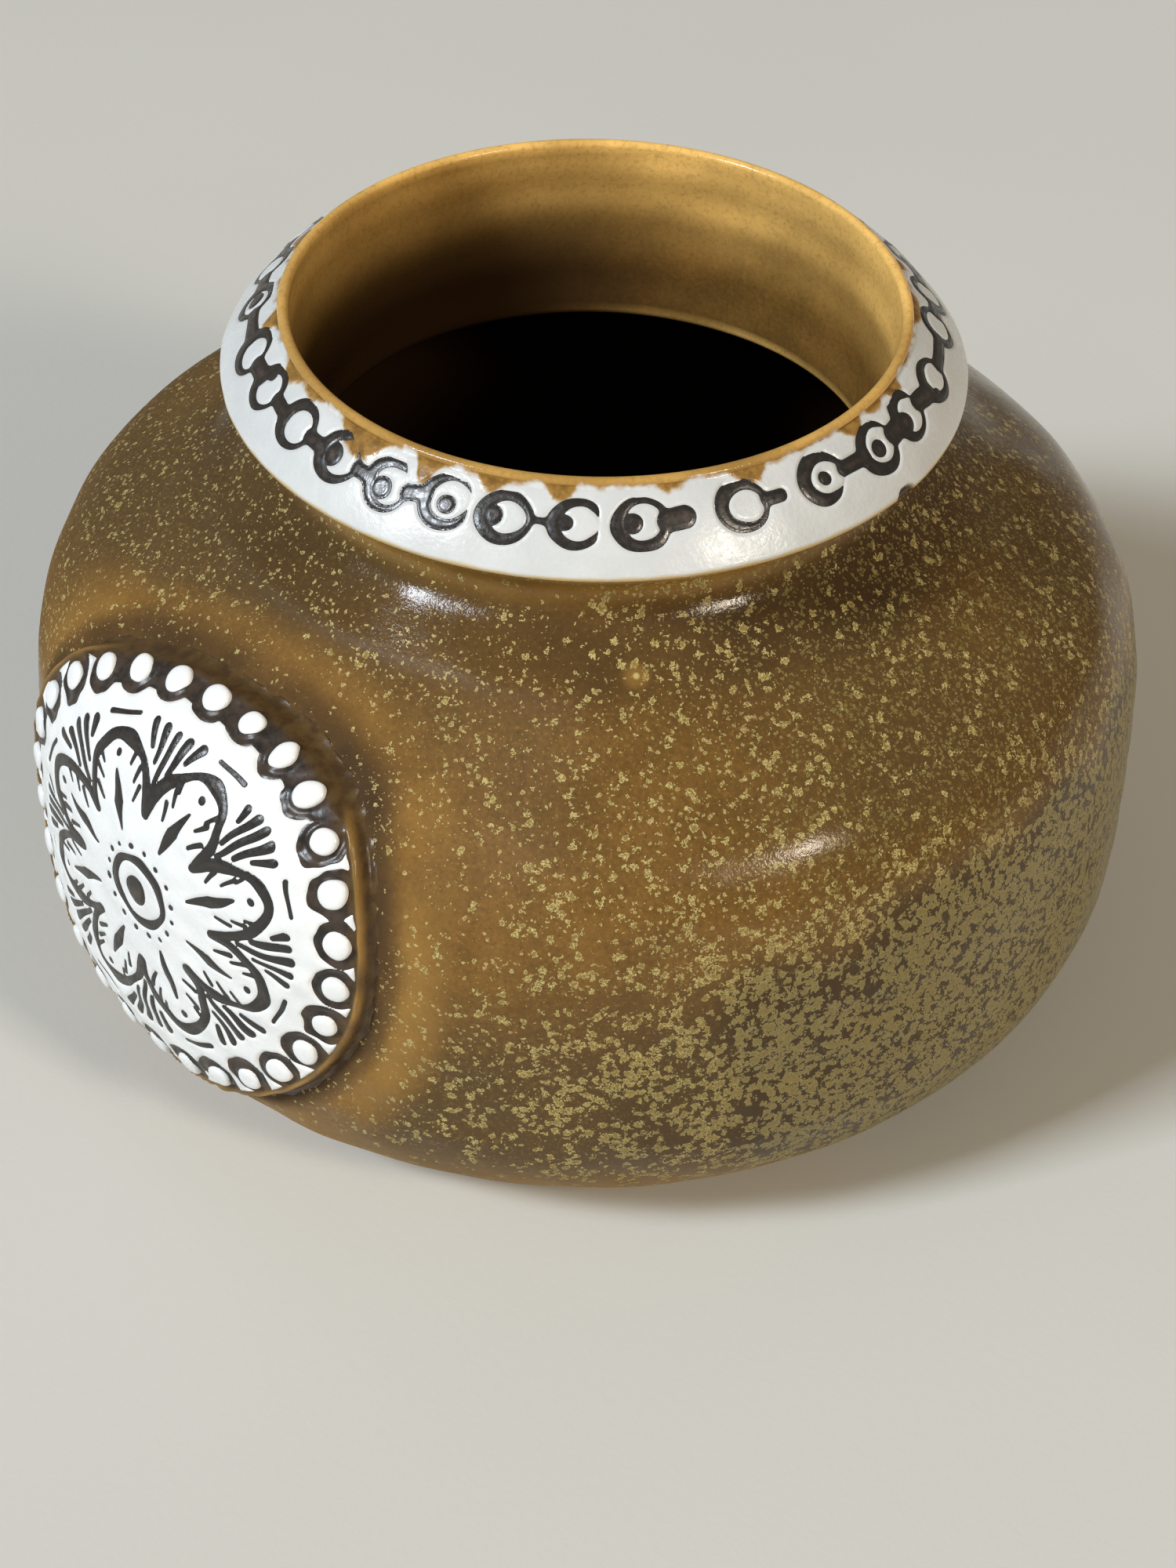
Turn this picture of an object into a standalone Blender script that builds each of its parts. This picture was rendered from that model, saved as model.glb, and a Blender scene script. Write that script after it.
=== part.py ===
"""A squat thrown vase with a flared white collar and an oval medallion on its front.

Metres, +Z up. The origin is on the turning axis, on the surface the vase stands on.
The medallion faces -Y. Azimuths are measured round the axis from -Y towards +X.
"""

import math

import bmesh
import bpy
import numpy
from mathutils import Matrix, Vector
from mathutils.geometry import interpolate_bezier

# Thrown body
BELLY_RADIUS = 0.0650
BELLY_HEIGHT = 0.0302  # of the widest girth above the table
BELLY_FULLNESS_UP = 3.71  # 2 is an ellipse, and more is squarer
BELLY_FULLNESS_DOWN = 3.41
FOOT_RADIUS = 0.0424
FOOT_EDGE_ROUND = 0.0010
FOOT_RING_WIDTH = 0.0060
FOOT_RECESS = 0.0018
FLOOR_THICKNESS = 0.0060
WALL = 0.0050
SHOULDER_RADIUS = 0.0550  # where the belly's curve ends and the gutter's begins
SHOULDER_RISE = 0.0291  # of that place above the girth

# Gutter and bore of the neck
NECK_RADIUS = 0.0365
GUTTER_RISE = 0.0202  # from there up to the collar's lower edge
GUTTER_RUN_SHARE = 0.70  # of the way in from the shoulder, how far its slope runs on
GUTTER_COVE_SHARE = 0.22  # of the way down from the neck, how far it drops straight
NECK_DROP = 0.0050  # from the collar's lower edge down to the neck's narrowest place
BORE_RADIUS = 0.0320  # at its lower corner
BORE_DEPTH = 0.0139  # from the collar's lower edge down to that corner
BORE_CORNER = 0.0012

# Flared collar and lip
COLLAR_RADIUS = 0.0418
COLLAR_RISE = 0.0072  # from the collar's lower edge to where the lip's round begins
COLLAR_BULGE = 0.0005
LIP_RADIUS = 0.0351
LIP_WIDTH = 0.0013
LIP_BAND = 0.0005  # bare lip left above the white band

# White band on the collar, and the chain of rings let into it
BAND_THICKNESS = 0.0014
RING_COUNT = 30
RING_HALF_WIDTH = 0.0030
RING_HALF_HEIGHT = 0.0027
CHAIN_RISE = 0.0060  # of the chain's middle above the collar's lower edge, along its face
LINE_WIDTH = 0.0012
LINK_WIDTH = 0.0019
INLAY_DEPTH = 0.00055

# Oval medallion: a white slab with a ring of sockets, and a pearl in each
MEDALLION_HEIGHT = 0.0086  # of its centre above the girth, along the wall
MEDALLION_TILT = 25.0  # degrees, right side up
SLAB_HALF_WIDTH = 0.0306
SLAB_HALF_HEIGHT = 0.0268
SLAB_EDGE = 0.0008
SLAB_CROWN = 0.0015
CROWN_POWER = 3
PEARL_COUNT = 28
PEARL_RADIUS = 0.0017
PEARL_RELIEF = 0.0015
PEARL_INSET = 0.0031  # of the pearls' middles from the slab's edge
SOCKET_RADIUS = 0.0024

# Inlaid rosette, its shares being of the slab's plain field inside the sockets
PETAL_COUNT = 8
PETAL_ROOT_SHARE = 0.46
PETAL_TIP_SHARE = 0.80
PETAL_BLUNTNESS = 0.7  # under 1 the petals' tips are round, and over 1 they are narrow
VEIN_START_SHARE = 0.34
VEIN_END_SHARE = 0.62
VEIN_WIDTH = 0.0013
EYE_RADIUS = 0.0040

# Gap that every seated piece keeps to what it seats in
SEAT_GAP = 0.0003

# Facets
TURNED_STEPS = 48
BELLY_STEPS = 8
HOLLOW_STEPS = 6
GUTTER_STEPS = 8
BAND_STEPS = 4
LIP_STEPS = 4
COVE_STEPS = 3
CORNER_STEPS = 2
RING_ARC_STEPS = 4
SLAB_SIDES = 36
SLAB_RING_SHARES = (0.2, 0.4, 0.6, 0.8, 1.0)
PETAL_STEPS = 8
EYE_SIDES = 20
VEIN_SIDES = 10
PEARL_SIDES = 8
PEARL_DRAWN_IN = ((0.98, 0.45), (0.62, 0.88))  # share of its radius at a share of its relief
SOCKET_SIDES = 10

# How finely the wall is measured to place things on it
TABLE_STEPS = 200
TABLE_PROBE = 0.0005

# Heights that follow from the sizes above
SHOULDER_Z = BELLY_HEIGHT + SHOULDER_RISE
COLLAR_Z = SHOULDER_Z + GUTTER_RISE
LIP_Z = COLLAR_Z + COLLAR_RISE
BORE_Z = COLLAR_Z - BORE_DEPTH
NECK_Z = COLLAR_Z - NECK_DROP

# Sizes inside the sockets that the rosette is laid out in
FIELD_HALF_WIDTH = SLAB_HALF_WIDTH - PEARL_INSET - SOCKET_RADIUS
FIELD_HALF_HEIGHT = SLAB_HALF_HEIGHT - PEARL_INSET - SOCKET_RADIUS

# Colours, linear
OCHRE = (0.200, 0.105, 0.028)
WHITE = (0.700, 0.700, 0.690)
DARK = (0.030, 0.022, 0.016)


def clear_scene():
    for thing in list(bpy.data.objects):
        bpy.data.objects.remove(thing, do_unlink=True)


def glaze(name, colour, roughness):
    material = bpy.data.materials.new(name)
    material.use_nodes = True
    shader = material.node_tree.nodes["Principled BSDF"]
    shader.inputs["Base Color"].default_value = (*colour, 1.0)
    shader.inputs["Roughness"].default_value = roughness
    shader.inputs["Metallic"].default_value = 0.0
    material.diffuse_color = (*colour, 1.0)
    return material


def place_object(name, mesh, material):
    mesh.materials.append(material)
    thing = bpy.data.objects.new(name, mesh)
    bpy.context.scene.collection.objects.link(thing)
    return thing


def object_from_bmesh(name, shape, material):
    shape.normal_update()
    bmesh.ops.recalc_face_normals(shape, faces=shape.faces[:])
    mesh = bpy.data.meshes.new(name)
    shape.to_mesh(mesh)
    shape.free()
    mesh.shade_smooth()
    mesh.set_sharp_from_angle(angle=math.radians(40.0))
    return place_object(name, mesh, material)


def turned(name, profile, closed, material):
    """A profile of (radius, height) points turned round the axis by a Screw."""
    count = len(profile)
    edges = [(i, i + 1) for i in range(count - 1)]
    if closed:
        edges.append((count - 1, 0))
    mesh = bpy.data.meshes.new(name)
    mesh.from_pydata([(radius, 0.0, z) for radius, z in profile], edges, [])
    thing = place_object(name, mesh, material)
    screw = thing.modifiers.new("Turn", "SCREW")
    screw.steps = TURNED_STEPS
    screw.render_steps = TURNED_STEPS
    screw.use_merge_vertices = True
    screw.merge_threshold = 0.00001
    screw.use_smooth_shade = True
    return thing


def swell(radius, rise, power, far, steps):
    """Points of a superellipse quarter from (radius, 0) to the height far, as (r, z)."""
    end = math.asin((far / rise) ** (power / 2))
    points = []
    for i in range(steps + 1):
        angle = end * i / steps
        points.append((radius * math.cos(angle) ** (2 / power), rise * math.sin(angle) ** (2 / power)))
    return points


def rise_through(radius, power, at_radius, at_rise):
    """The full rise of the superellipse quarter that passes through a given point."""
    return at_rise / (1 - (at_radius / radius) ** power) ** (1 / power)


def belly_slope(radius, rise):
    """How fast the upper belly climbs inwards at a point on it."""
    across = radius / BELLY_RADIUS
    up = rise / UPPER_RISE
    return UPPER_RISE / BELLY_RADIUS * (across / up) ** (BELLY_FULLNESS_UP - 1)


UPPER_RISE = rise_through(BELLY_RADIUS, BELLY_FULLNESS_UP, SHOULDER_RADIUS, SHOULDER_RISE)
LOWER_RISE = rise_through(BELLY_RADIUS, BELLY_FULLNESS_DOWN, FOOT_RADIUS, BELLY_HEIGHT)


def curve(start, start_handle, end_handle, end, steps):
    """A cubic curve through (r, z) points, without its first point."""
    points = interpolate_bezier(
        Vector((*start, 0.0)),
        Vector((*start_handle, 0.0)),
        Vector((*end_handle, 0.0)),
        Vector((*end, 0.0)),
        steps + 1,
    )
    return [(p.x, p.y) for p in points[1:]]


def collar_point(along, level):
    """The collar's white face: along runs 0 to 1 from its lower edge up to the lip."""
    foot = Vector((COLLAR_RADIUS, COLLAR_Z))
    head = Vector((LIP_RADIUS, LIP_Z))
    slant = head - foot
    outward = Vector((slant.y, -slant.x)).normalized()
    bulge = COLLAR_BULGE * 4 * along * (1 - along)
    point = foot + slant * along + outward * (bulge + level)
    return point.x, point.y


def collar_slant():
    return math.hypot(COLLAR_RADIUS - LIP_RADIUS, COLLAR_RISE)


def band_top():
    """How far up the collar's face the white band reaches, as a share of it."""
    return 1 - LIP_BAND / collar_slant()


def inner_wall():
    """Inside of the vase, from the middle of the floor up to the lip's inner edge."""
    inside_radius = BELLY_RADIUS - WALL
    floor_drop = BELLY_HEIGHT - FLOOR_THICKNESS
    low = swell(inside_radius, floor_drop, BELLY_FULLNESS_DOWN, floor_drop, HOLLOW_STEPS)
    points = [(r, BELLY_HEIGHT - z) for r, z in reversed(low)]
    points[0] = (0.0, FLOOR_THICKNESS)
    up_rise = UPPER_RISE - WALL
    shoulder_share = (SHOULDER_RADIUS - WALL) / inside_radius
    up_end = up_rise * (1 - shoulder_share**BELLY_FULLNESS_UP) ** (1 / BELLY_FULLNESS_UP)
    high = swell(inside_radius, up_rise, BELLY_FULLNESS_UP, up_end, HOLLOW_STEPS)
    points += [(r, BELLY_HEIGHT + z) for r, z in high[1:]]
    corner = (BORE_RADIUS, BORE_Z)
    ceiling_end = (BORE_RADIUS + BORE_CORNER, BORE_Z - BORE_CORNER)
    points.append(ceiling_end)
    points += curve(
        ceiling_end,
        (BORE_RADIUS + BORE_CORNER / 2, BORE_Z - BORE_CORNER),
        (BORE_RADIUS, BORE_Z - BORE_CORNER / 2),
        corner,
        CORNER_STEPS,
    )
    lip_inner = (LIP_RADIUS - LIP_WIDTH, LIP_Z)
    points += curve(
        corner,
        (BORE_RADIUS, BORE_Z + BORE_DEPTH / 3),
        (lip_inner[0], COLLAR_Z),
        lip_inner,
        BAND_STEPS,
    )
    return points


def lip():
    """The half round over the lip, from its inner edge to its outer edge."""
    half = LIP_WIDTH / 2
    middle = LIP_RADIUS - half
    points = []
    for i in range(1, LIP_STEPS + 1):
        angle = math.pi * (1 - i / LIP_STEPS)
        points.append((middle + half * math.cos(angle), LIP_Z + half * math.sin(angle)))
    return points


def band_seat():
    """The rebate behind the white band, from the bare lip down to the collar's lower edge."""
    depth = BAND_THICKNESS + SEAT_GAP
    top = band_top() + SEAT_GAP / collar_slant()
    return [
        collar_point(top, 0.0),
        collar_point(top, -depth),
        collar_point(top / 2, -depth),
        collar_point(0.0, -depth),
    ]


def under_collar(start):
    """From under the collar's edge in to the neck's narrowest place."""
    return curve(
        start,
        (start[0] - BAND_THICKNESS / 2, start[1] - NECK_DROP / 4),
        (NECK_RADIUS, NECK_Z + NECK_DROP / 2),
        (NECK_RADIUS, NECK_Z),
        COVE_STEPS,
    )


def gutter(steps):
    """A tight cove under the collar that opens into a straight slope out to the shoulder."""
    reach = (SHOULDER_RADIUS - NECK_RADIUS) * GUTTER_RUN_SHARE
    slope = belly_slope(SHOULDER_RADIUS, SHOULDER_RISE)
    return curve(
        (NECK_RADIUS, NECK_Z),
        (NECK_RADIUS, NECK_Z - (NECK_Z - SHOULDER_Z) * GUTTER_COVE_SHARE),
        (SHOULDER_RADIUS - reach, SHOULDER_Z + reach * slope),
        (SHOULDER_RADIUS, SHOULDER_Z),
        steps,
    )


def outer_wall(steps):
    """Outside of the belly from the shoulder down to the foot's rounded edge."""
    high = swell(BELLY_RADIUS, UPPER_RISE, BELLY_FULLNESS_UP, SHOULDER_RISE, steps)
    points = [(r, BELLY_HEIGHT + z) for r, z in reversed(high)][1:]
    low_end = BELLY_HEIGHT - FOOT_EDGE_ROUND
    low = swell(BELLY_RADIUS, LOWER_RISE, BELLY_FULLNESS_DOWN, low_end, steps)
    points += [(r, BELLY_HEIGHT - z) for r, z in low[1:]]
    return points


def foot():
    """The standing ring and the shallow recess turned inside it."""
    ring_inner = FOOT_RADIUS - FOOT_RING_WIDTH
    return [
        (FOOT_RADIUS, FOOT_EDGE_ROUND / 4),
        (FOOT_RADIUS - FOOT_EDGE_ROUND, 0.0),
        (ring_inner, 0.0),
        (ring_inner - FOOT_RECESS / 2, FOOT_RECESS),
        (0.0, FOOT_RECESS),
    ]


def make_body(material):
    seat = band_seat()
    outside = under_collar(seat[-1]) + gutter(GUTTER_STEPS) + outer_wall(BELLY_STEPS)
    profile = inner_wall() + lip() + seat + outside + foot()
    return turned("vase_body", profile, False, material)


def wall_table():
    """Distances along the outside from the girth, with the radius and height at each."""
    points = numpy.array(gutter(TABLE_STEPS) + outer_wall(TABLE_STEPS))[::-1]
    radii = points[:, 0]
    heights = points[:, 1]
    steps = numpy.hypot(numpy.diff(radii), numpy.diff(heights))
    lengths = numpy.concatenate([[0.0], numpy.cumsum(steps)])
    lengths -= numpy.interp(BELLY_HEIGHT, heights, lengths)
    return lengths, radii, heights


WALL_TABLE = wall_table()


def wall_at(along):
    """Radius and height of the outside at a distance along it from the girth."""
    lengths, radii, heights = WALL_TABLE
    radius = float(numpy.interp(along, lengths, radii))
    height = float(numpy.interp(along, lengths, heights))
    return Vector((radius, height))


def on_belly(u, v, level):
    """A point over the front wall: u and v run along it from the medallion's centre."""
    along = MEDALLION_HEIGHT + v
    radius, height = wall_at(along)
    up = (wall_at(along + TABLE_PROBE) - wall_at(along - TABLE_PROBE)).normalized()
    azimuth = u / radius
    radius += up.y * level
    height -= up.x * level
    return Vector((radius * math.sin(azimuth), -radius * math.cos(azimuth), height))


def chain_radius():
    """Distance of the chain's middle from the turning axis."""
    return collar_point(CHAIN_RISE / collar_slant(), 0.0)[0]


def on_collar(u, v, level):
    """A point over the collar: u runs round it, v up its face from the chain's middle."""
    radius, height = collar_point((CHAIN_RISE + v) / collar_slant(), level)
    azimuth = u / chain_radius()
    return Vector((radius * math.sin(azimuth), -radius * math.cos(azimuth), height))


def thicken(shape, low, high):
    """Extrudes the flat faces in shape, leaving one skin at z low and the other at z high."""
    for vert in shape.verts:
        vert.co.z = low
    grown = bmesh.ops.extrude_face_region(shape, geom=shape.faces[:])
    for item in grown["geom"]:
        if isinstance(item, bmesh.types.BMVert):
            item.co.z = high


def wrap(shape, onto):
    """Moves each point (u, v, level) of shape to its place over a turned wall."""
    for vert in shape.verts:
        vert.co = onto(*vert.co)


def chain_shape(line_grow, low, high):
    """A closed chain of rings and link bars, grown by line_grow on every side."""
    pitch = 2 * math.pi * chain_radius() / RING_COUNT
    line = LINE_WIDTH + 2 * line_grow
    outer = Vector((RING_HALF_WIDTH + line_grow, RING_HALF_HEIGHT + line_grow))
    inner = outer - Vector((line, line))
    half_link = math.asin((LINK_WIDTH / 2 + line_grow) / outer.y)
    arc = math.pi - 2 * half_link
    angles = []
    for side in range(2):
        start = side * math.pi + half_link
        angles += [start + arc * i / RING_ARC_STEPS for i in range(RING_ARC_STEPS + 1)]
    shape = bmesh.new()
    rings = []
    for number in range(RING_COUNT):
        outside = []
        inside = []
        middle = number * pitch
        for angle in angles:
            across = math.cos(angle)
            up = math.sin(angle)
            outside.append(shape.verts.new((middle + outer.x * across, outer.y * up, 0.0)))
            inside.append(shape.verts.new((middle + inner.x * across, inner.y * up, 0.0)))
        for i in range(len(angles)):
            j = (i + 1) % len(angles)
            shape.faces.new((inside[i], outside[i], outside[j], inside[j]))
        rings.append(outside)
    for number in range(RING_COUNT):
        here = rings[number]
        after = rings[(number + 1) % RING_COUNT]
        lower_left = here[-1]
        upper_left = here[0]
        upper_right = after[RING_ARC_STEPS]
        lower_right = after[RING_ARC_STEPS + 1]
        shape.faces.new((lower_left, lower_right, upper_right, upper_left))
    thicken(shape, low, high)
    wrap(shape, on_collar)
    return shape


def cutter(name, shape):
    thing = object_from_bmesh(name, shape, CUT)
    thing.hide_render = True
    thing.display_type = "WIRE"
    return thing


def cut(target, tool):
    boolean = target.modifiers.new(tool.name, "BOOLEAN")
    boolean.operation = "DIFFERENCE"
    boolean.solver = "EXACT"
    boolean.object = tool


def make_collar(band_material, line_material):
    """The white band in its rebate, and the dark chain in the groove cut for it."""
    marks = [band_top() * i / BAND_STEPS for i in range(BAND_STEPS + 1)]
    outside = [collar_point(mark, 0.0) for mark in reversed(marks)]
    inside = [collar_point(mark, -BAND_THICKNESS) for mark in marks]
    band = turned("collar_band", outside + inside, True, band_material)
    groove = cutter("chain_groove", chain_shape(SEAT_GAP, -INLAY_DEPTH - SEAT_GAP, BAND_THICKNESS))
    cut(band, groove)
    object_from_bmesh("ring_chain", chain_shape(0.0, -INLAY_DEPTH, 0.0), line_material)


def slab_top(u, v):
    """Level of the slab's gently crowned face over the wall."""
    reach = (u / SLAB_HALF_WIDTH) ** 2 + (v / SLAB_HALF_HEIGHT) ** 2
    crown = max(0.0, 1 - reach**CROWN_POWER)
    return SEAT_GAP + SLAB_EDGE + (SLAB_CROWN - SLAB_EDGE) * crown


def tilted(u, v):
    turn = math.radians(MEDALLION_TILT)
    return u * math.cos(turn) - v * math.sin(turn), u * math.sin(turn) + v * math.cos(turn)


def over_slab(u, v, level):
    """A point at a level over the slab's own face."""
    return on_belly(*tilted(u, v), slab_top(u, v) + level)


def slab_skin(u, v, side):
    """The slab's back where side is 0, and its face where side is 1."""
    level = slab_top(u, v) if side > 0.5 else SEAT_GAP
    return on_belly(*tilted(u, v), level)


def slab_shape():
    """The plain slab, crowned and laid over the wall."""
    shape = bmesh.new()
    centre = shape.verts.new((0.0, 0.0, 0.0))
    before = None
    for share in SLAB_RING_SHARES:
        ring = []
        for i in range(SLAB_SIDES):
            angle = 2 * math.pi * i / SLAB_SIDES
            u = SLAB_HALF_WIDTH * share * math.cos(angle)
            v = SLAB_HALF_HEIGHT * share * math.sin(angle)
            ring.append(shape.verts.new((u, v, 0.0)))
        for i in range(SLAB_SIDES):
            j = (i + 1) % SLAB_SIDES
            if before:
                shape.faces.new((before[i], ring[i], ring[j], before[j]))
            else:
                shape.faces.new((centre, ring[i], ring[j]))
        before = ring
    thicken(shape, 0.0, 1.0)
    wrap(shape, slab_skin)
    return shape


def band_shape(line, grow, low, high):
    """A closed inlaid line, from the (u, v) points of its middle and the way across it at each."""
    shape = bmesh.new()
    half = LINE_WIDTH / 2 + grow
    inside = []
    outside = []
    for point, across in line:
        inside.append(shape.verts.new((point - across * half).to_3d()))
        outside.append(shape.verts.new((point + across * half).to_3d()))
    for i in range(len(line)):
        j = (i + 1) % len(line)
        shape.faces.new((inside[i], outside[i], outside[j], inside[j]))
    thicken(shape, low, high)
    wrap(shape, over_slab)
    return shape


def field_ray(angle):
    """From the rosette's middle to the edge of its field."""
    return Vector((FIELD_HALF_WIDTH * math.cos(angle), FIELD_HALF_HEIGHT * math.sin(angle)))


def petal_line():
    """One line round all the petals, drawn in at their roots and out at their tips."""
    points = []
    for i in range(PETAL_COUNT * PETAL_STEPS):
        angle = 2 * math.pi * i / (PETAL_COUNT * PETAL_STEPS)
        lobe = abs(math.cos(PETAL_COUNT * angle / 2)) ** PETAL_BLUNTNESS
        share = PETAL_ROOT_SHARE + (PETAL_TIP_SHARE - PETAL_ROOT_SHARE) * lobe
        points.append((field_ray(angle) * share, Vector((math.cos(angle), math.sin(angle)))))
    return points


def eye_line():
    """The ring round the middle of the rosette."""
    points = []
    for i in range(EYE_SIDES):
        angle = 2 * math.pi * i / EYE_SIDES
        across = Vector((math.cos(angle), math.sin(angle)))
        points.append((across * EYE_RADIUS, across))
    return points


def vein_shape(number, grow, low, high):
    """The leaf-shaped mark down the middle of one petal."""
    ray = field_ray(2 * math.pi * number / PETAL_COUNT)
    middle = ray * (VEIN_START_SHARE + VEIN_END_SHARE) / 2
    half_length = ray.length * (VEIN_END_SHARE - VEIN_START_SHARE) / 2 + grow
    half_width = VEIN_WIDTH / 2 + grow
    along = ray.normalized()
    across = Vector((-along.y, along.x))
    shape = bmesh.new()
    outline = []
    for i in range(VEIN_SIDES):
        turn = 2 * math.pi * i / VEIN_SIDES
        point = middle + along * half_length * math.cos(turn) + across * half_width * math.sin(turn)
        outline.append(shape.verts.new(point.to_3d()))
    shape.faces.new(outline)
    thicken(shape, low, high)
    wrap(shape, over_slab)
    return shape


def inlay(slab, name, make, drawing, material):
    """A dark line let into the slab: make turns its drawing into the groove's cutter and the line."""
    groove = make(drawing, SEAT_GAP, -INLAY_DEPTH - SEAT_GAP, SLAB_CROWN)
    cut(slab, cutter(name + "_groove", groove))
    object_from_bmesh(name, make(drawing, 0.0, -INLAY_DEPTH, 0.0), material)


def pearl_places():
    """The (u, v) of the pearls' middles, spread evenly round the slab inside its edge."""
    angles = numpy.linspace(0.0, 2 * math.pi, TABLE_STEPS * 4 + 1)
    us = (SLAB_HALF_WIDTH - PEARL_INSET) * numpy.cos(angles)
    vs = (SLAB_HALF_HEIGHT - PEARL_INSET) * numpy.sin(angles)
    lengths = numpy.concatenate([[0.0], numpy.cumsum(numpy.hypot(numpy.diff(us), numpy.diff(vs)))])
    marks = lengths[-1] * numpy.arange(PEARL_COUNT) / PEARL_COUNT
    across = numpy.interp(marks, lengths, us)
    up = numpy.interp(marks, lengths, vs)
    return list(zip(across.tolist(), up.tolist()))


def over_wall(u, v, level):
    """A point at a level over the wall, in the slab's tilted axes."""
    return on_belly(*tilted(u, v), level)


def socket_shape():
    """A short rod through the slab at every pearl, to cut its sockets with."""
    shape = bmesh.new()
    for u, v in pearl_places():
        bmesh.ops.create_circle(
            shape,
            cap_ends=True,
            segments=SOCKET_SIDES,
            radius=SOCKET_RADIUS,
            matrix=Matrix.Translation((u, v, 0.0)),
        )
    thicken(shape, -SLAB_EDGE, SLAB_CROWN * 2)
    wrap(shape, over_wall)
    return shape


def make_slab(slab_material, line_material):
    """The white slab with its sockets and grooves, and the dark lines in their grooves."""
    slab = object_from_bmesh("medallion_slab", slab_shape(), slab_material)
    inlay(slab, "petal_line", band_shape, petal_line(), line_material)
    inlay(slab, "eye_line", band_shape, eye_line(), line_material)
    for number in range(PETAL_COUNT):
        inlay(slab, f"petal_vein_{number + 1}", vein_shape, number, line_material)
    cut(slab, cutter("sockets", socket_shape()))


def pearl_shape(u, v):
    """A low dome: a round base, drawn in twice on its way up."""
    shape = bmesh.new()
    bmesh.ops.create_circle(
        shape,
        cap_ends=True,
        segments=PEARL_SIDES,
        radius=PEARL_RADIUS,
        matrix=Matrix.Translation((u, v, SEAT_GAP)),
    )
    centre = Vector((u, v, 0.0))
    cap = shape.faces[:]
    base = cap[0]
    for share, rise in PEARL_DRAWN_IN:
        grown = bmesh.ops.extrude_face_region(shape, geom=cap)
        if cap[0] is not base:
            bmesh.ops.delete(shape, geom=cap, context="FACES_ONLY")
        cap = [item for item in grown["geom"] if isinstance(item, bmesh.types.BMFace)]
        for vert in cap[0].verts:
            out = Vector((vert.co.x, vert.co.y, 0.0)) - centre
            vert.co = centre + out.normalized() * PEARL_RADIUS * share
            vert.co.z = SEAT_GAP + PEARL_RELIEF * rise
    crown = bmesh.ops.poke(shape, faces=cap)
    crown["verts"][0].co.z = SEAT_GAP + PEARL_RELIEF
    wrap(shape, over_wall)
    return shape


def make_pearls(material):
    for number, (u, v) in enumerate(pearl_places()):
        object_from_bmesh(f"pearl_{number + 1:02d}", pearl_shape(u, v), material)


clear_scene()
CUT = glaze("cut", DARK, 0.5)
ochre = glaze("ochre_glaze", OCHRE, 0.42)
white = glaze("white_glaze", WHITE, 0.30)
dark = glaze("dark_inlay", DARK, 0.35)
make_body(ochre)
make_collar(white, dark)
make_slab(white, dark)
make_pearls(white)
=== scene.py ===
"""Finish of the squat vase: crystal-flecked ochre glaze, white collar and medallion, dark line work.

Metres, +Z up. The origin is on the turning axis, on the floor. The medallion faces -Y.
Azimuths are measured round the axis from -Y towards +X.
"""

import math

import bpy
import numpy as np
from mathutils import Matrix, Vector


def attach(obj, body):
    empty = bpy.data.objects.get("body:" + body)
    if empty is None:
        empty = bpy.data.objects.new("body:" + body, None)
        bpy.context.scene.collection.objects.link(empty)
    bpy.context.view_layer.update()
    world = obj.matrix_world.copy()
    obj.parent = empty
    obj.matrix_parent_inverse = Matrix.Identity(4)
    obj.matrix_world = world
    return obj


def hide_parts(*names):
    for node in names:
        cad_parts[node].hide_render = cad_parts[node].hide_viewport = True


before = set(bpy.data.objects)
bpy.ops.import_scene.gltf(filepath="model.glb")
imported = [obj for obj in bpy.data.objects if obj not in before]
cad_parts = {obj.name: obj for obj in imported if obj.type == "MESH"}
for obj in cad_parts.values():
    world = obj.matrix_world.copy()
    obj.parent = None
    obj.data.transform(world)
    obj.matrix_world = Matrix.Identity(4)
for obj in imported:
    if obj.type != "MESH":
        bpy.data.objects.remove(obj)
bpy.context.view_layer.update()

# Thrown body, as in the CAD model
BELLY_RADIUS = 0.0650
BELLY_HEIGHT = 0.0302
BELLY_FULLNESS_UP = 3.71
BELLY_FULLNESS_DOWN = 3.41
FOOT_RADIUS = 0.0424
FOOT_EDGE_ROUND = 0.0010
FOOT_RING_WIDTH = 0.0060
FOOT_RECESS = 0.0018
FLOOR_THICKNESS = 0.0060
WALL = 0.0050
SHOULDER_RADIUS = 0.0550
SHOULDER_Z = BELLY_HEIGHT + 0.0291
NECK_RADIUS = 0.0365
GUTTER_RUN_SHARE = 0.70
GUTTER_COVE_SHARE = 0.22
COLLAR_Z = SHOULDER_Z + 0.0202
NECK_Z = COLLAR_Z - 0.0050
BORE_RADIUS = 0.0320
BORE_Z = COLLAR_Z - 0.0139
BORE_CORNER = 0.0012

# Flared collar, as in the CAD model
COLLAR_RADIUS = 0.0418
LIP_RADIUS = 0.0351
LIP_Z = COLLAR_Z + 0.0072
LIP_WIDTH = 0.0013
COLLAR_BULGE = 0.0005
BAND_THICKNESS = 0.0014
COLLAR_SLANT = math.hypot(COLLAR_RADIUS - LIP_RADIUS, LIP_Z - COLLAR_Z)
COLLAR_OUT = Vector((LIP_Z - COLLAR_Z, COLLAR_RADIUS - LIP_RADIUS)).normalized()
CHAIN_RISE = 0.0060

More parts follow.
